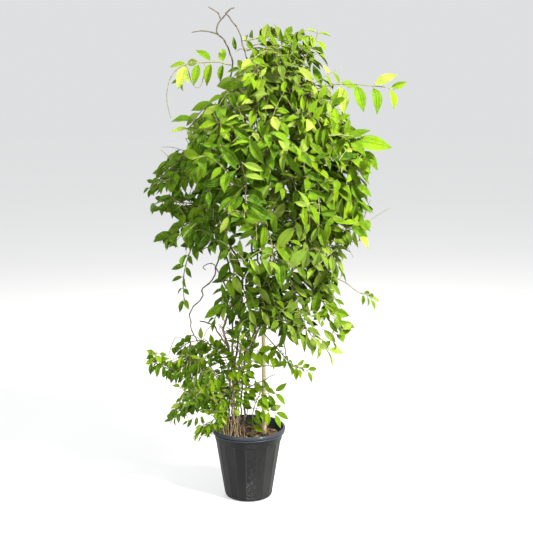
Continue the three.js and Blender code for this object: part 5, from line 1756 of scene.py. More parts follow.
def grain_group():
    """Streaks, blotches and fissures that run along upright stems and canes, and a darkening towards the top.
    """
    group, start, end = socket_group(
        "Stem grain",
        [
            ("Light", "Color"), ("Dark", "Color"), ("Blotch", "Color"), ("Fineness", "Float"),
            ("Stretch", "Float"), ("Aged", "Float"),
        ],
        [("Color", "Color"), ("Height", "Float"), ("Mask", "Float")],
    )
    wires = Wiring(group)
    solid = wires.node("TexCoord").outputs["Object"]
    stretch = wires.node("CombineXYZ", {0: 1.0, 1: 1.0, 2: start.outputs["Stretch"]}).outputs[0]
    drawn = wires.node("VectorMath", {0: solid, 1: stretch}, operation="MULTIPLY").outputs[0]
    fine = wires.noise(drawn, start.outputs["Fineness"], 6.0, roughness=0.62)
    broad = wires.noise(solid, BLOTCH_SCALE, 3.0)
    streak = wires.band(fine, *STREAK_EDGES)
    colour = wires.blend(streak, start.outputs["Dark"], start.outputs["Light"])
    patch = wires.band(broad, *BLOTCH_EDGES, 0.0, 0.75)
    colour = wires.blend(patch, colour, start.outputs["Blotch"])
    high = wires.band(wires.node("SeparateXYZ", {0: solid}).outputs[2], *DARKER_HEIGHTS)
    value = wires.minus(1.0, wires.times(high, start.outputs["Aged"]))
    colour = wires.node("HueSaturation", {"Value": value, "Color": colour}).outputs[0]
    wires.link(colour, end.inputs["Color"])
    wires.link(fine, end.inputs["Height"])
    wires.link(patch, end.inputs["Mask"])
    return group


def dust_group():
    """Dust and water marks on a surface, more of it low down."""
    group, start, end = socket_group(
        "Dust",
        [("Base", "Color"), ("Dust", "Color"), ("Amount", "Float"), ("Gloss", "Float")],
        [("Color", "Color"), ("Roughness", "Float"), ("Mask", "Float")],
    )
    wires = Wiring(group)
    solid = wires.node("TexCoord").outputs["Object"]
    cloud = wires.noise(solid, DUST_SCALE, 5.0, (1, 1, 0.4))
    speck = wires.noise(solid, SPECK_SCALE, 2.0)
    low = wires.band(wires.node("SeparateXYZ", {0: solid}).outputs[2], *DUST_HEIGHTS, 0.6, 0.15)
    cover = wires.plus(wires.band(cloud, 0.4, 0.75), low)
    mask = wires.times(cover, start.outputs["Amount"])
    mask = wires.times(mask, wires.band(speck, 0.3, 0.7, 0.55, 1.0), clamp=True)
    colour = wires.blend(mask, start.outputs["Base"], start.outputs["Dust"])
    rough = wires.plus(start.outputs["Gloss"], wires.times(mask, 0.35), clamp=True)
    wires.link(colour, end.inputs["Color"])
    wires.link(rough, end.inputs["Roughness"])
    wires.link(mask, end.inputs["Mask"])
    return group


def place_group(wires, name, values):
    """One of the shared groups, built the first time it is asked for."""
    builders = {"Leaf surface": leaf_surface_group, "Stem grain": grain_group, "Dust": dust_group}
    group = bpy.data.node_groups.get(name) or builders[name]()
    made = wires.tree.nodes.new("ShaderNodeGroup")
    made.node_tree = group
    for socket, value in values.items():
        made.inputs[socket].default_value = value
    return made


def new_material(name):
    material = bpy.data.materials.new(name)
    material.use_nodes = True
    tree = material.node_tree
    surface = tree.nodes["Principled BSDF"]
    return material, Wiring(tree), surface


def bump(wires, surface, height, strength, distance):
    """Relief of a surface, in metres."""
    made = wires.node("Bump", {"Height": height, "Strength": strength, "Distance": distance})
    wires.link(made.outputs[0], surface.inputs["Normal"])


def leaf_material(name, young, mature, glow_share):
    """A leaf that lets light through: waxy above, paler and duller below."""
    material, wires, surface = new_material(name)
    values = {"Young": young, "Mature": mature, "Vein": VEIN_COLOUR, "Underside": UNDERSIDE_COLOUR}
    values["Relief"] = 1.0
    look = place_group(wires, "Leaf surface", values)
    wires.link(look.outputs["Color"], surface.inputs["Base Color"])
    wires.link(look.outputs["Roughness"], surface.inputs["Roughness"])
    surface.inputs["Specular IOR Level"].default_value = LEAF_SHINE
    bump(wires, surface, look.outputs["Height"], *LEAF_RELIEF)
    glow = wires.node("BsdfTranslucent", {"Color": look.outputs["Glow"]})
    mixed = wires.node("MixShader", {0: glow_share, 1: surface.outputs[0], 2: glow.outputs[0]})
    output = wires.tree.nodes["Material Output"]
    wires.link(mixed.outputs[0], output.inputs["Surface"])
    return material


def stem_material(name, light, dark, blotch, fineness, stretch, roughness, strength, darker_above=0):
    """Bark, green stem or bamboo: grain along the stem with blotches of another colour."""
    material, wires, surface = new_material(name)
    values = {"Light": light, "Dark": dark, "Blotch": blotch, "Fineness": fineness, "Stretch": stretch}
    values["Aged"] = darker_above
    look = place_group(wires, "Stem grain", values)
    wires.link(look.outputs["Color"], surface.inputs["Base Color"])
    rough = wires.band(look.outputs["Height"], 0.3, 0.7, roughness + 0.12, roughness - 0.08)
    wires.link(rough, surface.inputs["Roughness"])
    bump(wires, surface, look.outputs["Height"], strength, GRAIN_DEPTH)
    return material


def cane_samples(name):
    """A cane with its bare twigs and short spurs, as points and radii, slightly bent as grown wood is."""
    cane = CANES[name]
    route = Route(cane["points"])
    dice = random.Random(name)
    knots = np.arange(330 + dice.uniform(0, 40), route.length - 20, KNOT_STEP)
    points, radii = stem_samples(route, cane["radii"], knots, CANE_BENDS, dice.random() * 50)
    slim = np.clip((points[:, 2] - SLIM_HEIGHTS[0]) / (SLIM_HEIGHTS[1] - SLIM_HEIGHTS[0]), 0, 1)
    stems = [(points, radii * (SLIM_FOOT + (1 - SLIM_FOOT) * slim))]
    for twig_radii, twig_points in cane["twigs"]:
        start = route.nearest(twig_points[0])
        side = Route([start, *twig_points[1:]])
        knots = np.arange(24, side.length - 10, TWIG_KNOT_STEP)
        stems.append(stem_samples(side, twig_radii, knots, TWIG_BENDS, dice.random() * 50))
    for height in np.linspace(*SPUR_HEIGHTS, SPURS):
        start = route.places[np.argmin(np.abs(route.places[:, 2] - height - dice.uniform(-18, 18)))]
        spur = crooked(dice, start, dice.uniform(*SPUR_LENGTHS), dice.uniform(-0.2, 0.9))
        stems.append(stem_samples(spur, SPUR_RADII, (), SPUR_BENDS, dice.random() * 50))
    return stems


def crooked(dice, start, length, rise):
    """A short crooked route in a random direction."""
    angle = dice.uniform(0, 2 * math.pi)
    points = [start]
    for _ in range(3):
        step = np.array([math.cos(angle), math.sin(angle), rise]) / math.hypot(1, rise)
        points.append(points[-1] + step * length / 3)
        angle += dice.uniform(-0.9, 0.9)
        rise += dice.uniform(-0.6, 0.6)
    return Route(points)


def thin_stems():
    """The clump of thin stems at the potting mix, and those that wind up among the canes."""
    dice = random.Random(11)
    stems = []
    for index in range(CLUMP_STEMS):
        angle = dice.uniform(0, 2 * math.pi)
        reach = CLUMP_REACH * math.sqrt(dice.uniform(0.01, 1))
        x, y = CLUMP_CENTRE[0] + reach * math.cos(angle), CLUMP_CENTRE[1] + reach * math.sin(angle)
        height = dice.uniform(*CLUMP_HEIGHTS)
        lean = dice.uniform(*CLUMP_LEAN) * height * CLUMP_SPREAD
        depth = dice.uniform(*CLUMP_DEPTH) * height * CLUMP_SPREAD
        points = [(x, y, SOIL_TOP - 8)]
        for share, rise, sway in CLUMP_SHAPE:
            bend = dice.uniform(-sway, sway) if sway else 0
            points.append((x + lean * share + bend, y + depth * share, SOIL_TOP + height * rise))
        points.append((x + lean * 1.2, y + depth * 1.2, SOIL_TOP + height * dice.uniform(*CLUMP_TOPS)))
        route = Route(points)
        size = dice.uniform(*CLUMP_SIZES)
        knots = np.arange(20, route.length - 10, CLUMP_KNOT_STEP)
        stems.append((*stem_samples(route, (size, size * 0.5), knots, CLUMP_BENDS, index + 0.5), index % 3))
        for _ in range(dice.choice((0, 1, 2))):
            start = route.at(route.length * dice.uniform(0.35, 0.85))
            spur = crooked(dice, start, dice.uniform(*CLUMP_SPUR_LENGTHS), 0.4)
            samples = stem_samples(spur, (size * 0.6, 0.5), (), WINDING_BENDS, index + 0.7)
            stems.append((*samples, index % 3))
    for index, name in enumerate(WOUND_CANES):
        route = Route(CANES[name]["points"])
        points = []
        angle = dice.uniform(0, 6)
        for distance in np.arange(45, dice.uniform(*WINDING_LENGTHS), WINDING_STEP):
            angle += dice.uniform(0.5, 1.4)
            away = np.array([math.cos(angle), math.sin(angle), 0]) * dice.uniform(*WINDING_REACH)
            points.append(route.at(distance) + away)
        samples = stem_samples(Route(points), WINDING_RADII, (), WINDING_BENDS, index + 0.9)
        stems.append((*samples, index % 3))
    return stems


MADE = {}


def plant():
    """All shoots of the plant, grown once for all the operators."""
    if "plant" not in MADE:
        MADE["plant"] = Plant()
        MADE["plant"].fill()
    return MADE["plant"]


def flat_leaf():
    """The leaf that all others are copied from, with the points of its flat shape."""
    if "leaf" not in MADE:
        master = leaf_master()
        flat = np.empty(len(master.data.vertices) * 3)
        master.data.vertices.foreach_get("co", flat)
        MADE["leaf"] = (master, flat.reshape(-1, 3))
    return MADE["leaf"]


def finish(name):
    """One of the plant's materials, made the first time it is asked for."""
    if name not in MADE:
        MADE[name] = FINISHES[name](name)
    return MADE[name]


def make_leaf(leaf, age_and_light):
    master, flat = flat_leaf()
    obj = master.copy()
    obj.data = master.data.copy()
    bpy.context.collection.objects.link(obj)
    obj.data.vertices.foreach_set("co", (blade_points(leaf, flat) * MM).ravel())
    # The leaf's tint, its age with painted light, and its painted shade deep in the crown
    tone = np.tile([leaf["tint"], age_and_light, painted_crown_shade(leaf), 1.0], len(flat))
    obj.data.attributes["leaf_tone_light_and_shade"].data.foreach_set("color", tone)
    return obj


def leaf_stalk(leaf):
    """The stalk from the stem to the blade, running a little way under its midrib."""
    root = leaf["root"] + leaf["outward"] * 0.5
    middle = (root + leaf["base"]) / 2 + leaf["outward"] * 0.8
    end = leaf["base"] + leaf["axis"] * leaf["blade"] * 0.08 - leaf["normal"] * 0.5
    size = STALK_RADIUS * (0.7 + leaf["blade"] / 160)
    return np.array([root, middle, leaf["base"], end]), np.array(STALK_TAPER) * size


def build_shoots(shoots):
    """A piece for every shoot that isn't a branch of another."""
    for shoot in shoots:
        if "branch" not in shoot:
            build_shoot(shoot["name"])
    return {"FINISHED"}


def build_shoot(owner):
    """A shoot's stems, stalks and leaves as one piece in the place of its node."""
    shoots = [shoot for shoot in plant().shoots.values() if shoot["owner"] == owner]
    colour = "leaf_" + shoots[0]["colour"]
    leaves = [leaf for shoot in shoots for leaf in shoot["leaves"]]
    stems = []
    for shoot in shoots:
        stems += [(*stem, min(index, 1)) for index, stem in enumerate(shoot["stems"])]
    surfaces = [finish("olive_stem"), finish("green_stem"), finish(colour), finish("leaf_pale")]
    parts = [tubes(owner + "_stems", stems, 1, surfaces)]
    parts.append(tubes(owner + "_stalks", [(*leaf_stalk(leaf), 1) for leaf in leaves], 0, surfaces))
    growth = BUSH_GROWTH if owner.startswith("bush") else CROWN_GROWTH
    blades = [make_leaf(finer(leaf, growth), leaf_age_and_light(leaf, owner)) for leaf in leaves]
    for leaf, blade in zip(leaves, blades):
        dress(blade, *surfaces)
        look = 3 if is_pale(leaf) else 2
        blade.data.polygons.foreach_set("material_index", [look] * len(blade.data.polygons))
    piece = join(parts + blades)
    keep(piece, owner + "_leaves", colour, owner)
    return piece


def leaf_age_and_light(leaf, owner):
    """Young leaves stand at the top and the right of the crown, older ones low and at the left. This is
    partly
    painted light: the lit upper right lighter, the neck and the left sprays painted lighter.
    """
    if "sight" in leaf:
        return AGES[leaf["sight"]]
    x, _, z = leaf["base"]
    up, right = (z - AGE_AND_LIGHT_PLACE[1]) / AGE_AND_LIGHT_SPANS[1], (x - AGE_AND_LIGHT_PLACE[0]) / AGE_AND_LIGHT_SPANS[0]
    start = CROWN_AGE if z > BUSH_HEIGHT else BUSH_AGE
    if z > NECK_HEIGHT:
        start -= NECK_YOUTH_AND_LIGHT
    # Painted light: the left sprays are made lighter
    if x < LEFT_SPRAYS and z > BUSH_HEIGHT:
        start -= LEFT_PAINTED_LIGHT
    if owner in OLD_SHOOTS:
        start += OLD_SHOOT_AGE
    # Partly painted light: lighter to the right and upwards
    young = up * AGE_AND_LIGHT_FALLS[1] + right * AGE_AND_LIGHT_FALLS[0]
    return float(np.clip(start - young + (leaf["phase"] - 0.5) * AGE_SPREAD, 0, 1))


def is_pale(leaf):
    """Some leaves are painted pale, as leaves that the light washes out: those seen so in front, more of them
    in the neck than elsewhere.
    """
    if "sight" in leaf:
        return leaf["sight"] == "p"
    x, _, z = leaf["base"]
    share = PALE_SHARES[0] if z > NECK_HEIGHT else PALE_SHARES[1] * (x > 0 or z < BUSH_HEIGHT)
    return leaf["phase"] * 13 % 1 < share


def painted_crown_shade(leaf):
    """Painted shade: 1 for the leaves deep in the middle of the crown, painted dark, 0 for those at its
    outside.
    """
    x, y, z = leaf["base"]
    heights, left, right = CROWN_OUTLINE.T
    if z < heights[0] or "sight" in leaf:
        return 0.0
    left, right = np.interp(z, heights, left), np.interp(z, heights, right)
    reach = math.hypot((x - (left + right) / 2) * 2 / (right - left), y / CROWN_DEPTH)
    return float(np.clip((OUTER_SHARE - reach) / (OUTER_SHARE - INNER_SHARE), 0, 1))


def bamboo_stations():
    """Distance along the bamboo cane and radius, with a ridge and a scar at each of its rings."""
    length = np.linalg.norm(STAKE_TOP - STAKE_FOOT)
    rows = [(0, STAKE_RADIUS)]
    for height in STAKE_NODES:
        middle = (height - STAKE_FOOT[2]) / (STAKE_TOP[2] - STAKE_FOOT[2]) * length
        for offset, swell in BAMBOO_RING:
            rows.append((middle + offset, STAKE_RADIUS + swell))
    rows.append((length - 1, STAKE_RADIUS - 0.8))
    rows.append((length, STAKE_RADIUS - 1.6))
    return rows


def pot_wall(height):
    """Radius of the pot's outside below its lip."""
    lean = (RIM_RADIUS - LIP_OVERHANG - BASE_RADIUS) / (POT_HEIGHT - CORNER_RADIUS)
    return BASE_RADIUS + lean * max(0, height - CORNER_RADIUS)


def pot_profile():
    """Radius and height of each ring of the pot, up the outside, over the lip and down the inside."""
    def inner(height):
        return (pot_wall(height) - PANEL_STEP) * math.cos(math.pi / PANEL_COUNT) - WALL

    lip = POT_HEIGHT - LIP_HEIGHT
    collar = lip - COLLAR_HEIGHT
    foot = CORNER_RADIUS + RISER_HEIGHT
    head = collar - RISER_HEIGHT
    rings = [
        (BASE_RADIUS - CORNER_RADIUS, 0), (BASE_RADIUS - CORNER_RADIUS * 0.3, CORNER_RADIUS * 0.3),
        (BASE_RADIUS, CORNER_RADIUS), (pot_wall(foot), foot), (pot_wall(head), head),
        (pot_wall(collar) + COLLAR_STEP, collar), (pot_wall(lip) + COLLAR_STEP, lip),
    ]
    rings += [(RIM_RADIUS - inset * MM, lip + rise * MM) for inset, rise in LIP_PROFILE]
    bore = pot_wall(POT_HEIGHT) + COLLAR_STEP - WALL
    rings += [
        (bore + 1.2 * MM, POT_HEIGHT), (bore, POT_HEIGHT - MM),
        (pot_wall(collar) + COLLAR_STEP - WALL, collar), (inner(head), head), (inner(FLOOR), FLOOR),
    ]
    return rings, (foot, head)


def build_pot():
    """The nursery pot: rolled lip, collar, flat panels and drainage notches, with its full wall inside."""
    rings, (foot, head) = pot_profile()
    deselect()
    radius, height = rings[0]
    bpy.ops.mesh.primitive_circle_add(
        vertices=POT_SIDES, radius=radius, location=(0, 0, 0), rotation=(0, 0, math.radians(PANEL_TURN))
    )
    obj = bpy.context.object
    settle(obj)
    bpy.ops.object.mode_set(mode="EDIT")
    bpy.ops.mesh.select_all(action="SELECT")
    for next_radius, next_height in rings[1:]:
        step = {"value": (0, 0, next_height - height)}
        bpy.ops.mesh.extrude_region_move(TRANSFORM_OT_translate=step)
        factor = next_radius / radius
        bpy.ops.transform.resize(value=(factor, factor, 1), center_override=(0, 0, next_height))
        radius, height = next_radius, next_height
    bpy.ops.mesh.edge_face_add()
    low = rings[0][1]
    pick(obj, "EDGE", lambda edge: all(abs(c.co.z - low) < 1e-6 for c in edge.verts) and edge.is_boundary)
    bpy.ops.mesh.edge_face_add()
    flatten_panels(obj, foot, head)
    bpy.ops.mesh.select_all(action="SELECT")
    bpy.ops.mesh.normals_make_consistent(inside=False)
    recess_panels(obj, foot, head)
    cut_notches(obj)
    bpy.ops.object.mode_set(mode="OBJECT")
    apply_modifier(
        obj, "BEVEL", width=0.0006, segments=2, limit_method="ANGLE", angle_limit=math.radians(24),
        use_clamp_overlap=True, harden_normals=False,
    )
    smooth(obj, 28)
    mark_pot(obj)
    dress(obj, finish("pot_plastic"))
    return obj


def panel_place(point):
    """Which panel a point of the pot is in, and its angle from the panel's middle."""
    turn = (math.degrees(math.atan2(point.y, point.x)) - PANEL_TURN) % 360
    width = 360 / PANEL_COUNT
    return int(turn // width), turn % width - width / 2


def flatten_panels(obj, foot, head):
    """Draws the corners between the panels' edges in, so that each panel is flat."""
    width = 360 / PANEL_COUNT
    corner = math.cos(math.radians(width / 2))
    steps = POT_SIDES // PANEL_COUNT
    for index in range(steps // 2):
        offset = width / steps * (index if steps % 2 == 0 else index + 0.5)
        factor = corner / math.cos(math.radians(offset))

        def between(vertex):
            _, turn = panel_place(vertex.co)
            outside = vertex.co.xy.length > BASE_RADIUS
            return foot - 1e-5 < vertex.co.z < head + 1e-5 and outside and abs(abs(turn) - offset) < 0.5

        pick(obj, "VERT", between)
        bpy.ops.transform.resize(value=(factor, factor, 1), center_override=(0, 0, 0))


def recess_panels(obj, foot, head):
    """Sets every second panel back a little, which draws a thin line at each panel's edge."""
    def recessed(face):
        middle = face.calc_center_median()
        panel, _ = panel_place(middle)
        upright = foot < middle.z < head and face.normal.dot(Vector((middle.x, middle.y, 0))) > 0
        return upright and panel % 2 == 1

    pick(obj, "FACE", recessed)
    bpy.ops.mesh.inset(thickness=0.0009, depth=-PANEL_STEP, use_even_offset=True)


def cut_notches(obj):
    """Small drainage notches round the lower edge."""
    for panel in range(0, PANEL_COUNT, 2):
        dice = random.Random(panel)
        width = dice.choice(NOTCH_WIDTHS)

        def in_notch(face):
            middle = face.calc_center_median()
            place, turn = panel_place(middle)
            low = CORNER_RADIUS * 0.3 < middle.z < CORNER_RADIUS and middle.xy.length > NOTCH_SHELL
            return low and place == panel and abs(turn) < width

        pick(obj, "FACE", in_notch)
        bpy.ops.mesh.inset(thickness=0.0012, depth=-0.0024, use_even_offset=True)


def mark_pot(obj):
    """Marks the panel with a field of small dots, the notches for their painted shade and the inner wall for
    its painted light, one in each channel.
    """
    attribute = obj.data.attributes.new("pot_marks_light_and_shade", "FLOAT_COLOR", "POINT")
    (low_radius, low), (high_radius, high) = pot_profile()[0][1:3]
    marks = []
    for vertex in obj.data.vertices:
        height, radius = vertex.co.z, vertex.co.xy.length
        dotted = float(panel_place(vertex.co)[0] == STIPPLED_PANEL)
        outside = low_radius + (high_radius - low_radius) * (height - low) / (high - low)
        # The notches are marked for painted shade
        notch_shade = float(low + MM < height < high and MM < outside - radius < 3 * MM)
        depth = 0 if height > POT_HEIGHT - LIP_HEIGHT - COLLAR_HEIGHT else 4.8 * MM
        # The inner wall is marked for painted light
        inner = float(height > FLOOR and radius < pot_wall(height) - depth)
        marks += [dotted, notch_shade, inner, 1.0]
    attribute.data.foreach_set("color", marks)


def chip_masters():
    """A few split pieces of bark that the potting mix is copied from."""
    masters = []
    for seed, size in enumerate(CHIP_SIZES):
        deselect()
        bpy.ops.mesh.primitive_cube_add(size=1, location=(0, 0, 0), scale=size)
        obj = bpy.context.object
        settle(obj)
        bpy.ops.object.mode_set(mode="EDIT")
        bpy.ops.mesh.select_all(action="SELECT")
        bpy.ops.mesh.subdivide(number_cuts=1)
        bpy.ops.transform.vertex_random(offset=0.13, uniform=0.3, normal=0.2, seed=seed)
        bpy.ops.object.mode_set(mode="OBJECT")
        smooth(obj, 25)
        masters.append(obj)
    return masters


def soil_height(x, y):
    """Height of the potting mix in metres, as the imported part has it."""
    x, y = x / MM, y / MM
    return (SOIL_TOP + SOIL_BUMP * math.sin(x / 13 + 1) * math.cos(y / 11 + x / 29)) * MM


def build_mix(count):
    """Coarse bark chips and bits of twig over the top of the potting mix."""
    masters = chip_masters()
    dice = random.Random(7)
    chips = []
    for index in range(count):
        master = dice.choice(masters)
        obj = master.copy()
        obj.data = master.data.copy()
        bpy.context.collection.objects.link(obj)
        length = dice.uniform(*CHIP_LENGTHS) * (0.6 if index % 3 else 1)
        reach = (MIX_RADIUS - length * 0.4) * math.sqrt(dice.random())
        angle = dice.uniform(0, 2 * math.pi)
        x, y = reach * math.cos(angle), reach * math.sin(angle)
        obj.scale = (length, length * dice.uniform(0.7, 1.2), length)
        tilt = 0.8 if index % 5 == 0 else 0.35
        obj.rotation_euler = (dice.uniform(-tilt, tilt), dice.uniform(-tilt, tilt), dice.uniform(0, 6.28))
        obj.location = (x, y, soil_height(x, y) + dice.uniform(*CHIP_LIFT))
        tone = obj.data.attributes.new("chip_tone", "FLOAT", "POINT")
        tone.data.foreach_set("value", [dice.random()] * len(obj.data.vertices))
        chips.append(obj)
    piece = join(chips)
    settle(piece)
    for master in masters:
        bpy.data.objects.remove(master)
    dress(piece, finish("bark_chips"))
    return piece


def pot_plastic(name):
    """Charcoal moulded plastic: fine grain, dust low down, lighter lines at the panel edges, pale dots, a
    glossier rim with a painted highlight, painted light on the inner wall, painted shade in the notches.
    """
    sizes = bpy.context.scene.creeper_pot
    material, wires, surface = new_material(name)
    values = {"Base": sizes.colour, "Dust": DUST_COLOUR, "Amount": sizes.dust, "Gloss": 0.45}
    dust = place_group(wires, "Dust", values)
    solid = wires.node("TexCoord").outputs["Object"]
    grain = wires.noise(solid, PLASTIC_GRAIN, 3.0)
    cells = wires.node("TexVoronoi", {"Vector": solid, "Scale": DOT_SCALE, "Randomness": 0.7})
    dotted, notch_shade, inner = wires.channels("pot_marks_light_and_shade")
    x, y, z = wires.node("SeparateXYZ", {0: solid}).outputs
    dots = wires.band(cells.outputs["Distance"], *DOT_SIZES)
    dots = wires.times(wires.times(dots, dotted), wires.band(z, *DOT_HEIGHTS, 1.0, 0.25))
    turn = wires.minus(wires.math("ARCTAN2", y, x), math.radians(PANEL_TURN))
    panel = wires.plus(wires.times(turn, PANEL_COUNT / (2 * math.pi)), PANEL_COUNT + 0.5)
    edge = wires.math("ABSOLUTE", wires.minus(wires.math("FRACT", panel), 0.5))
    # Lighter lines along the panel edges, up to the panels' head
    panel_line = wires.times(wires.band(edge, *PANEL_LINE_WIDTHS), wires.band(z, *PANEL_LINE_HEAD, 0.8, 0.0))
    # Painted highlight on the lip and painted light on the inner wall
    rim = wires.math("MAXIMUM", wires.band(z, *RIM_HIGHLIGHT_FOOT), inner)
    colour = wires.blend(panel_line, dust.outputs["Color"], PANEL_LINE_COLOUR)
    colour = wires.blend(dots, colour, DOT_COLOUR)
    colour = wires.blend(rim, colour, RIM_PAINTED_LIGHT)
    # Painted shade: the notches are near black
    colour = wires.blend(notch_shade, colour, SLOT_PAINTED_SHADE)
    wires.link(colour, surface.inputs["Base Color"])
    rough = wires.minus(dust.outputs["Roughness"], wires.times(rim, 0.25))
    wires.link(rough, surface.inputs["Roughness"])
    surface.inputs["Specular IOR Level"].default_value = POT_SHINE
    height = wires.math("MULTIPLY_ADD", grain, 0.3, wires.times(dots, 0.2))
    bump(wires, surface, height, *PLASTIC_RELIEF)
    return material


def bark_chips(name):
    """Split bark: reddish brown to nearly black, fibrous along each chip."""
    material, wires, surface = new_material(name)
    solid = wires.node("TexCoord").outputs["Object"]
    tone = wires.node("Attribute", attribute_name="chip_tone").outputs["Fac"]
    fibre = wires.noise(solid, CHIP_GRAIN, 5.0, (1, 0.35, 1))
    colour = wires.blend(wires.band(tone, 0.0, 1.0), CHIP_DARK, CHIP_RED)
    colour = wires.blend(wires.band(fibre, 0.42, 0.7, 0.0, 0.8), colour, CHIP_LIGHT)
    wires.link(colour, surface.inputs["Base Color"])
    wires.link(wires.band(fibre, 0.3, 0.7, 0.95, 0.7), surface.inputs["Roughness"])
    bump(wires, surface, fibre, *CHIP_RELIEF)
    return material


def floor_finish(name):
    """A plain pale floor."""
    material, wires, surface = new_material(name)
    solid = wires.node("TexCoord").outputs["Object"]
    cloud = wires.noise(solid, 1.3, 3.0)
    colour = wires.blend(cloud, *FLOOR_COLOURS)
    wires.link(colour, surface.inputs["Base Color"])
    wires.link(wires.band(cloud, 0.2, 0.8, 0.75, 0.85), surface.inputs["Roughness"])
    surface.inputs["Emission Color"].default_value = SKY_COLOUR
    surface.inputs["Emission Strength"].default_value = FLOOR_GLOW
    return material


def leaf_finish(young, mature, glow):
    return lambda name: leaf_material(name, (*young, 1), (*mature, 1), glow)


def stem_finish(light, dark, blotch, *values):
    return lambda name: stem_material(name, (*light, 1), (*dark, 1), (*blotch, 1), *values)


# Leaves: young and mature colour, share of light let through. Stems: light, dark and blotch colour, fineness
# and stretch of the grain, roughness, strength of the relief, how much darker the wood is above.
FINISHES = {
    "pot_plastic": pot_plastic,
    "bark_chips": bark_chips,
    "floor": floor_finish,
    # The bright, mid and deep leaves are partly lit and shaded copies of one leaf: painted light and shade
    "leaf_bright": leaf_finish((0.22, 0.39, 0.003), (0.036, 0.12, 0.0015), 0.28),
    "leaf_mid": leaf_finish((0.165, 0.32, 0.0025), (0.024, 0.093, 0.0012), 0.27),
    "leaf_deep": leaf_finish((0.11, 0.25, 0.002), (0.014, 0.068, 0.001), 0.25),
    # Pale leaves: painted light, as leaves washed out by it
    "leaf_pale": leaf_finish((0.42, 0.55, 0.09), (0.2, 0.35, 0.02), 0.3),
    "bark": stem_finish(
        (0.29, 0.21, 0.12), (0.09, 0.06, 0.034), (0.25, 0.24, 0.08), 260, 0.22, 0.75, 0.9, 0.55
    ),
    "dry_stem": stem_finish((0.55, 0.42, 0.3), (0.34, 0.24, 0.15), (0.42, 0.38, 0.15), 300, 0.25, 0.7, 0.6),
    "yellow_stem": stem_finish((0.5, 0.5, 0.13), (0.3, 0.31, 0.06), (0.3, 0.2, 0.09), 300, 0.3, 0.55, 0.3),
    "olive_stem": stem_finish(
        (0.24, 0.25, 0.07), (0.1, 0.1, 0.03), (0.16, 0.08, 0.035), 300, 0.3, 0.55, 0.4
    ),
    "green_stem": stem_finish(
        (0.36, 0.46, 0.12), (0.2, 0.3, 0.06), (0.28, 0.22, 0.07), 320, 0.3, 0.45, 0.25
    ),
    "bamboo": stem_finish((0.86, 0.74, 0.46), (0.7, 0.54, 0.27), (0.42, 0.3, 0.14), 210, 0.05, 0.42, 0.3),
    "potting_mix": stem_finish(
        (0.08, 0.045, 0.028), (0.02, 0.012, 0.009), (0.05, 0.03, 0.02), 160, 1, 0.95, 1
    ),
}


class CreeperPot(bpy.types.PropertyGroup):
    """Sizes and colours of the nursery pot."""

    colour: bpy.props.FloatVectorProperty(
        name="Plastic", description="Colour of the moulded plastic", size=4, subtype="COLOR", min=0, max=1,
        default=(0.0078, 0.0081, 0.0088, 1),
    )
    dust: bpy.props.FloatProperty(
        name="Dust", description="How much dust lies on the pot", subtype="FACTOR", min=0, max=1,
        default=0.08,
    )


class CreeperMix(bpy.types.PropertyGroup):
    """Amount of bark in the potting mix."""

    chips: bpy.props.IntProperty(
        name="Bark chips", description="Number of bark chips on the potting mix", min=10, max=2000,
        default=760,
    )


class CreeperStage(bpy.types.PropertyGroup):
    """Floor, lights and camera."""

    key_power: bpy.props.FloatProperty(
        name="Key light", description="Power of the large light at the front right", unit="POWER",
        default=630,
    )
    fill_power: bpy.props.FloatProperty(
        name="Fill light", description="Power of the light at the front left", unit="POWER", default=85,
    )
    rim_power: bpy.props.FloatProperty(
        name="Rim light", description="Power of the light behind the plant", unit="POWER", default=80,
    )
    lens: bpy.props.FloatProperty(
        name="Lens", description="Focal length of the camera in millimetres", min=20, max=200, default=LENS
    )


class CREEPER_OT_pot(bpy.types.Operator):
    """Model the nursery pot"""

    bl_idname = "creeper.pot"
    bl_label = "Nursery pot"

    def execute(self, context):
        keep(build_pot(), "nursery_pot", "pot_plastic", "pot")
        return {"FINISHED"}


class CREEPER_OT_mix(bpy.types.Operator):
    """Cover the potting mix with bark chips"""

    bl_idname = "creeper.mix"
    bl_label = "Potting mix"

    def execute(self, context):
        dress(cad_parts["soil"], finish("potting_mix"))
        keep(build_mix(context.scene.creeper_mix.chips), "bark_chips", "potting_mix")
        return {"FINISHED"}


class CREEPER_OT_bamboo(bpy.types.Operator):
    """Model the bamboo cane"""

    bl_idname = "creeper.bamboo"
    bl_label = "Bamboo cane"

    def execute(self, context):
        rows = bamboo_stations()
        heading = unit(STAKE_TOP - STAKE_FOOT)
        points = [STAKE_FOOT + heading * distance for distance, _ in rows]
        piece = tubes("bamboo", [(points, [radius for _, radius in rows], 0)], 8, [finish("bamboo")])
        keep(piece, "bamboo_cane", "bamboo", "stake")
        return {"FINISHED"}


class CREEPER_OT_canes(bpy.types.Operator):
    """Model the woody canes and their bare twigs"""

    bl_idname = "creeper.canes"
    bl_label = "Woody canes"

    def execute(self, context):
        for name in CANES:
            surface = "olive_stem" if name == "cane_right" else "bark"
            stems = [(points, radii, 0) for points, radii in cane_samples(name)]
            piece = tubes(name, stems, 3, [finish(surface)])
            keep(piece, name + "_bark", surface, name)
        surfaces = [finish("dry_stem"), finish("olive_stem"), finish("yellow_stem")]
        keep(tubes("thin_stems", thin_stems(), 1, surfaces), "thin_stems", "bark")
        return {"FINISHED"}


class CREEPER_OT_side_shoots(bpy.types.Operator):
    """Model the shoots that show outside the crown"""

    bl_idname = "creeper.side_shoots"
    bl_label = "Side shoots"

    def execute(self, context):
        return build_shoots(SIDE_SHOOTS)


class CREEPER_OT_bush(bpy.types.Operator):
    """Model the low bush of smaller leaves"""

    bl_idname = "creeper.bush"
    bl_label = "Low bush"

    def execute(self, context):
        return build_shoots(BUSH_SHOOTS)


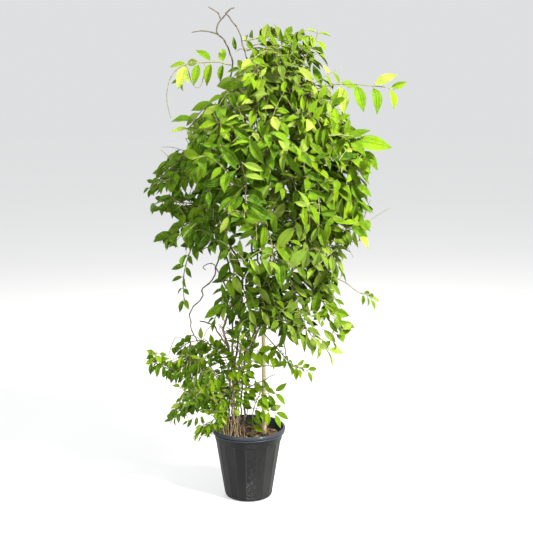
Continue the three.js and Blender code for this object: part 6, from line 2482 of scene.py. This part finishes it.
class CREEPER_OT_crown(bpy.types.Operator):
    """Model the shoots of the crown"""

    bl_idname = "creeper.crown"
    bl_label = "Crown shoots"

    def execute(self, context):
        return build_shoots(CROWN)


class CREEPER_OT_stage(bpy.types.Operator):
    """Set up the floor, the studio light and the camera"""

    bl_idname = "creeper.stage"
    bl_label = "Stage"

    def execute(self, context):
        settings = context.scene.creeper_stage
        deselect()
        bpy.ops.mesh.primitive_circle_add(
            vertices=96, radius=FLOOR_RADIUS, fill_type="NGON", location=(0, 0, 0)
        )
        ground = context.object
        ground.name = "floor"
        dress(ground, finish("floor"))
        powers = (settings.key_power, settings.fill_power, settings.rim_power)
        for power, (name, place, size, colour) in zip(powers, LIGHTS):
            add_light(name, place, power, size, colour)
        world = context.scene.world or bpy.data.worlds.new("Studio")
        context.scene.world = world
        world.use_nodes = True
        sky = world.node_tree.nodes["Background"]
        sky.inputs["Color"].default_value = SKY_COLOUR
        sky.inputs["Strength"].default_value = SKY_STRENGTH
        aim = Vector(CAMERA_AIM) - Vector(CAMERA_PLACE)
        turn = aim.to_track_quat("-Z", "Y").to_euler()
        bpy.ops.object.camera_add(location=CAMERA_PLACE, rotation=turn)
        camera = context.object
        camera.data.lens = settings.lens
        camera.data.sensor_width = SENSOR
        context.scene.camera = camera
        context.scene.view_settings.view_transform = "Standard"
        return {"FINISHED"}


def add_light(name, place, power, size, colour):
    """A large soft light that looks at the middle of the plant."""
    turn = (Vector(LIGHT_AIM) - Vector(place)).to_track_quat("-Z", "Y").to_euler()
    bpy.ops.object.light_add(type="AREA", location=place, rotation=turn)
    light = bpy.context.object
    light.name = name
    light.data.energy = power
    light.data.size = size
    light.data.color = colour


class CREEPER_PT_panel(bpy.types.Panel):
    """Sizes, colours and the steps that build the plant"""

    bl_label = "Potted Creeper"
    bl_idname = "CREEPER_PT_panel"
    bl_space_type = "VIEW_3D"
    bl_region_type = "UI"
    bl_category = "Creeper"

    def draw(self, context):
        layout = self.layout
        scene = context.scene
        layout.prop(scene.creeper_pot, "colour")
        layout.prop(scene.creeper_pot, "dust")
        layout.prop(scene.creeper_mix, "chips")
        for name in ("key_power", "fill_power", "rim_power", "lens"):
            layout.prop(scene.creeper_stage, name)
        for operator in OPERATORS:
            layout.operator(operator.bl_idname)


OPERATORS = (
    CREEPER_OT_pot, CREEPER_OT_mix, CREEPER_OT_bamboo, CREEPER_OT_canes, CREEPER_OT_side_shoots,
    CREEPER_OT_bush, CREEPER_OT_crown, CREEPER_OT_stage,
)
SETTINGS = {"creeper_pot": CreeperPot, "creeper_mix": CreeperMix, "creeper_stage": CreeperStage}


def register():
    for name, settings in SETTINGS.items():
        bpy.utils.register_class(settings)
        setattr(bpy.types.Scene, name, bpy.props.PointerProperty(type=settings))
    for kind in (*OPERATORS, CREEPER_PT_panel):
        bpy.utils.register_class(kind)


def unregister():
    for kind in (CREEPER_PT_panel, *reversed(OPERATORS)):
        bpy.utils.unregister_class(kind)
    for name, settings in SETTINGS.items():
        delattr(bpy.types.Scene, name)
        bpy.utils.unregister_class(settings)


def main():
    register()
    bpy.ops.creeper.pot()
    bpy.ops.creeper.mix()
    bpy.ops.creeper.bamboo()
    bpy.ops.creeper.canes()
    bpy.ops.creeper.side_shoots()
    bpy.ops.creeper.bush()
    bpy.ops.creeper.crown()
    bpy.ops.creeper.stage()
    bpy.data.objects.remove(flat_leaf()[0])


if __name__ == "__main__":
    main()
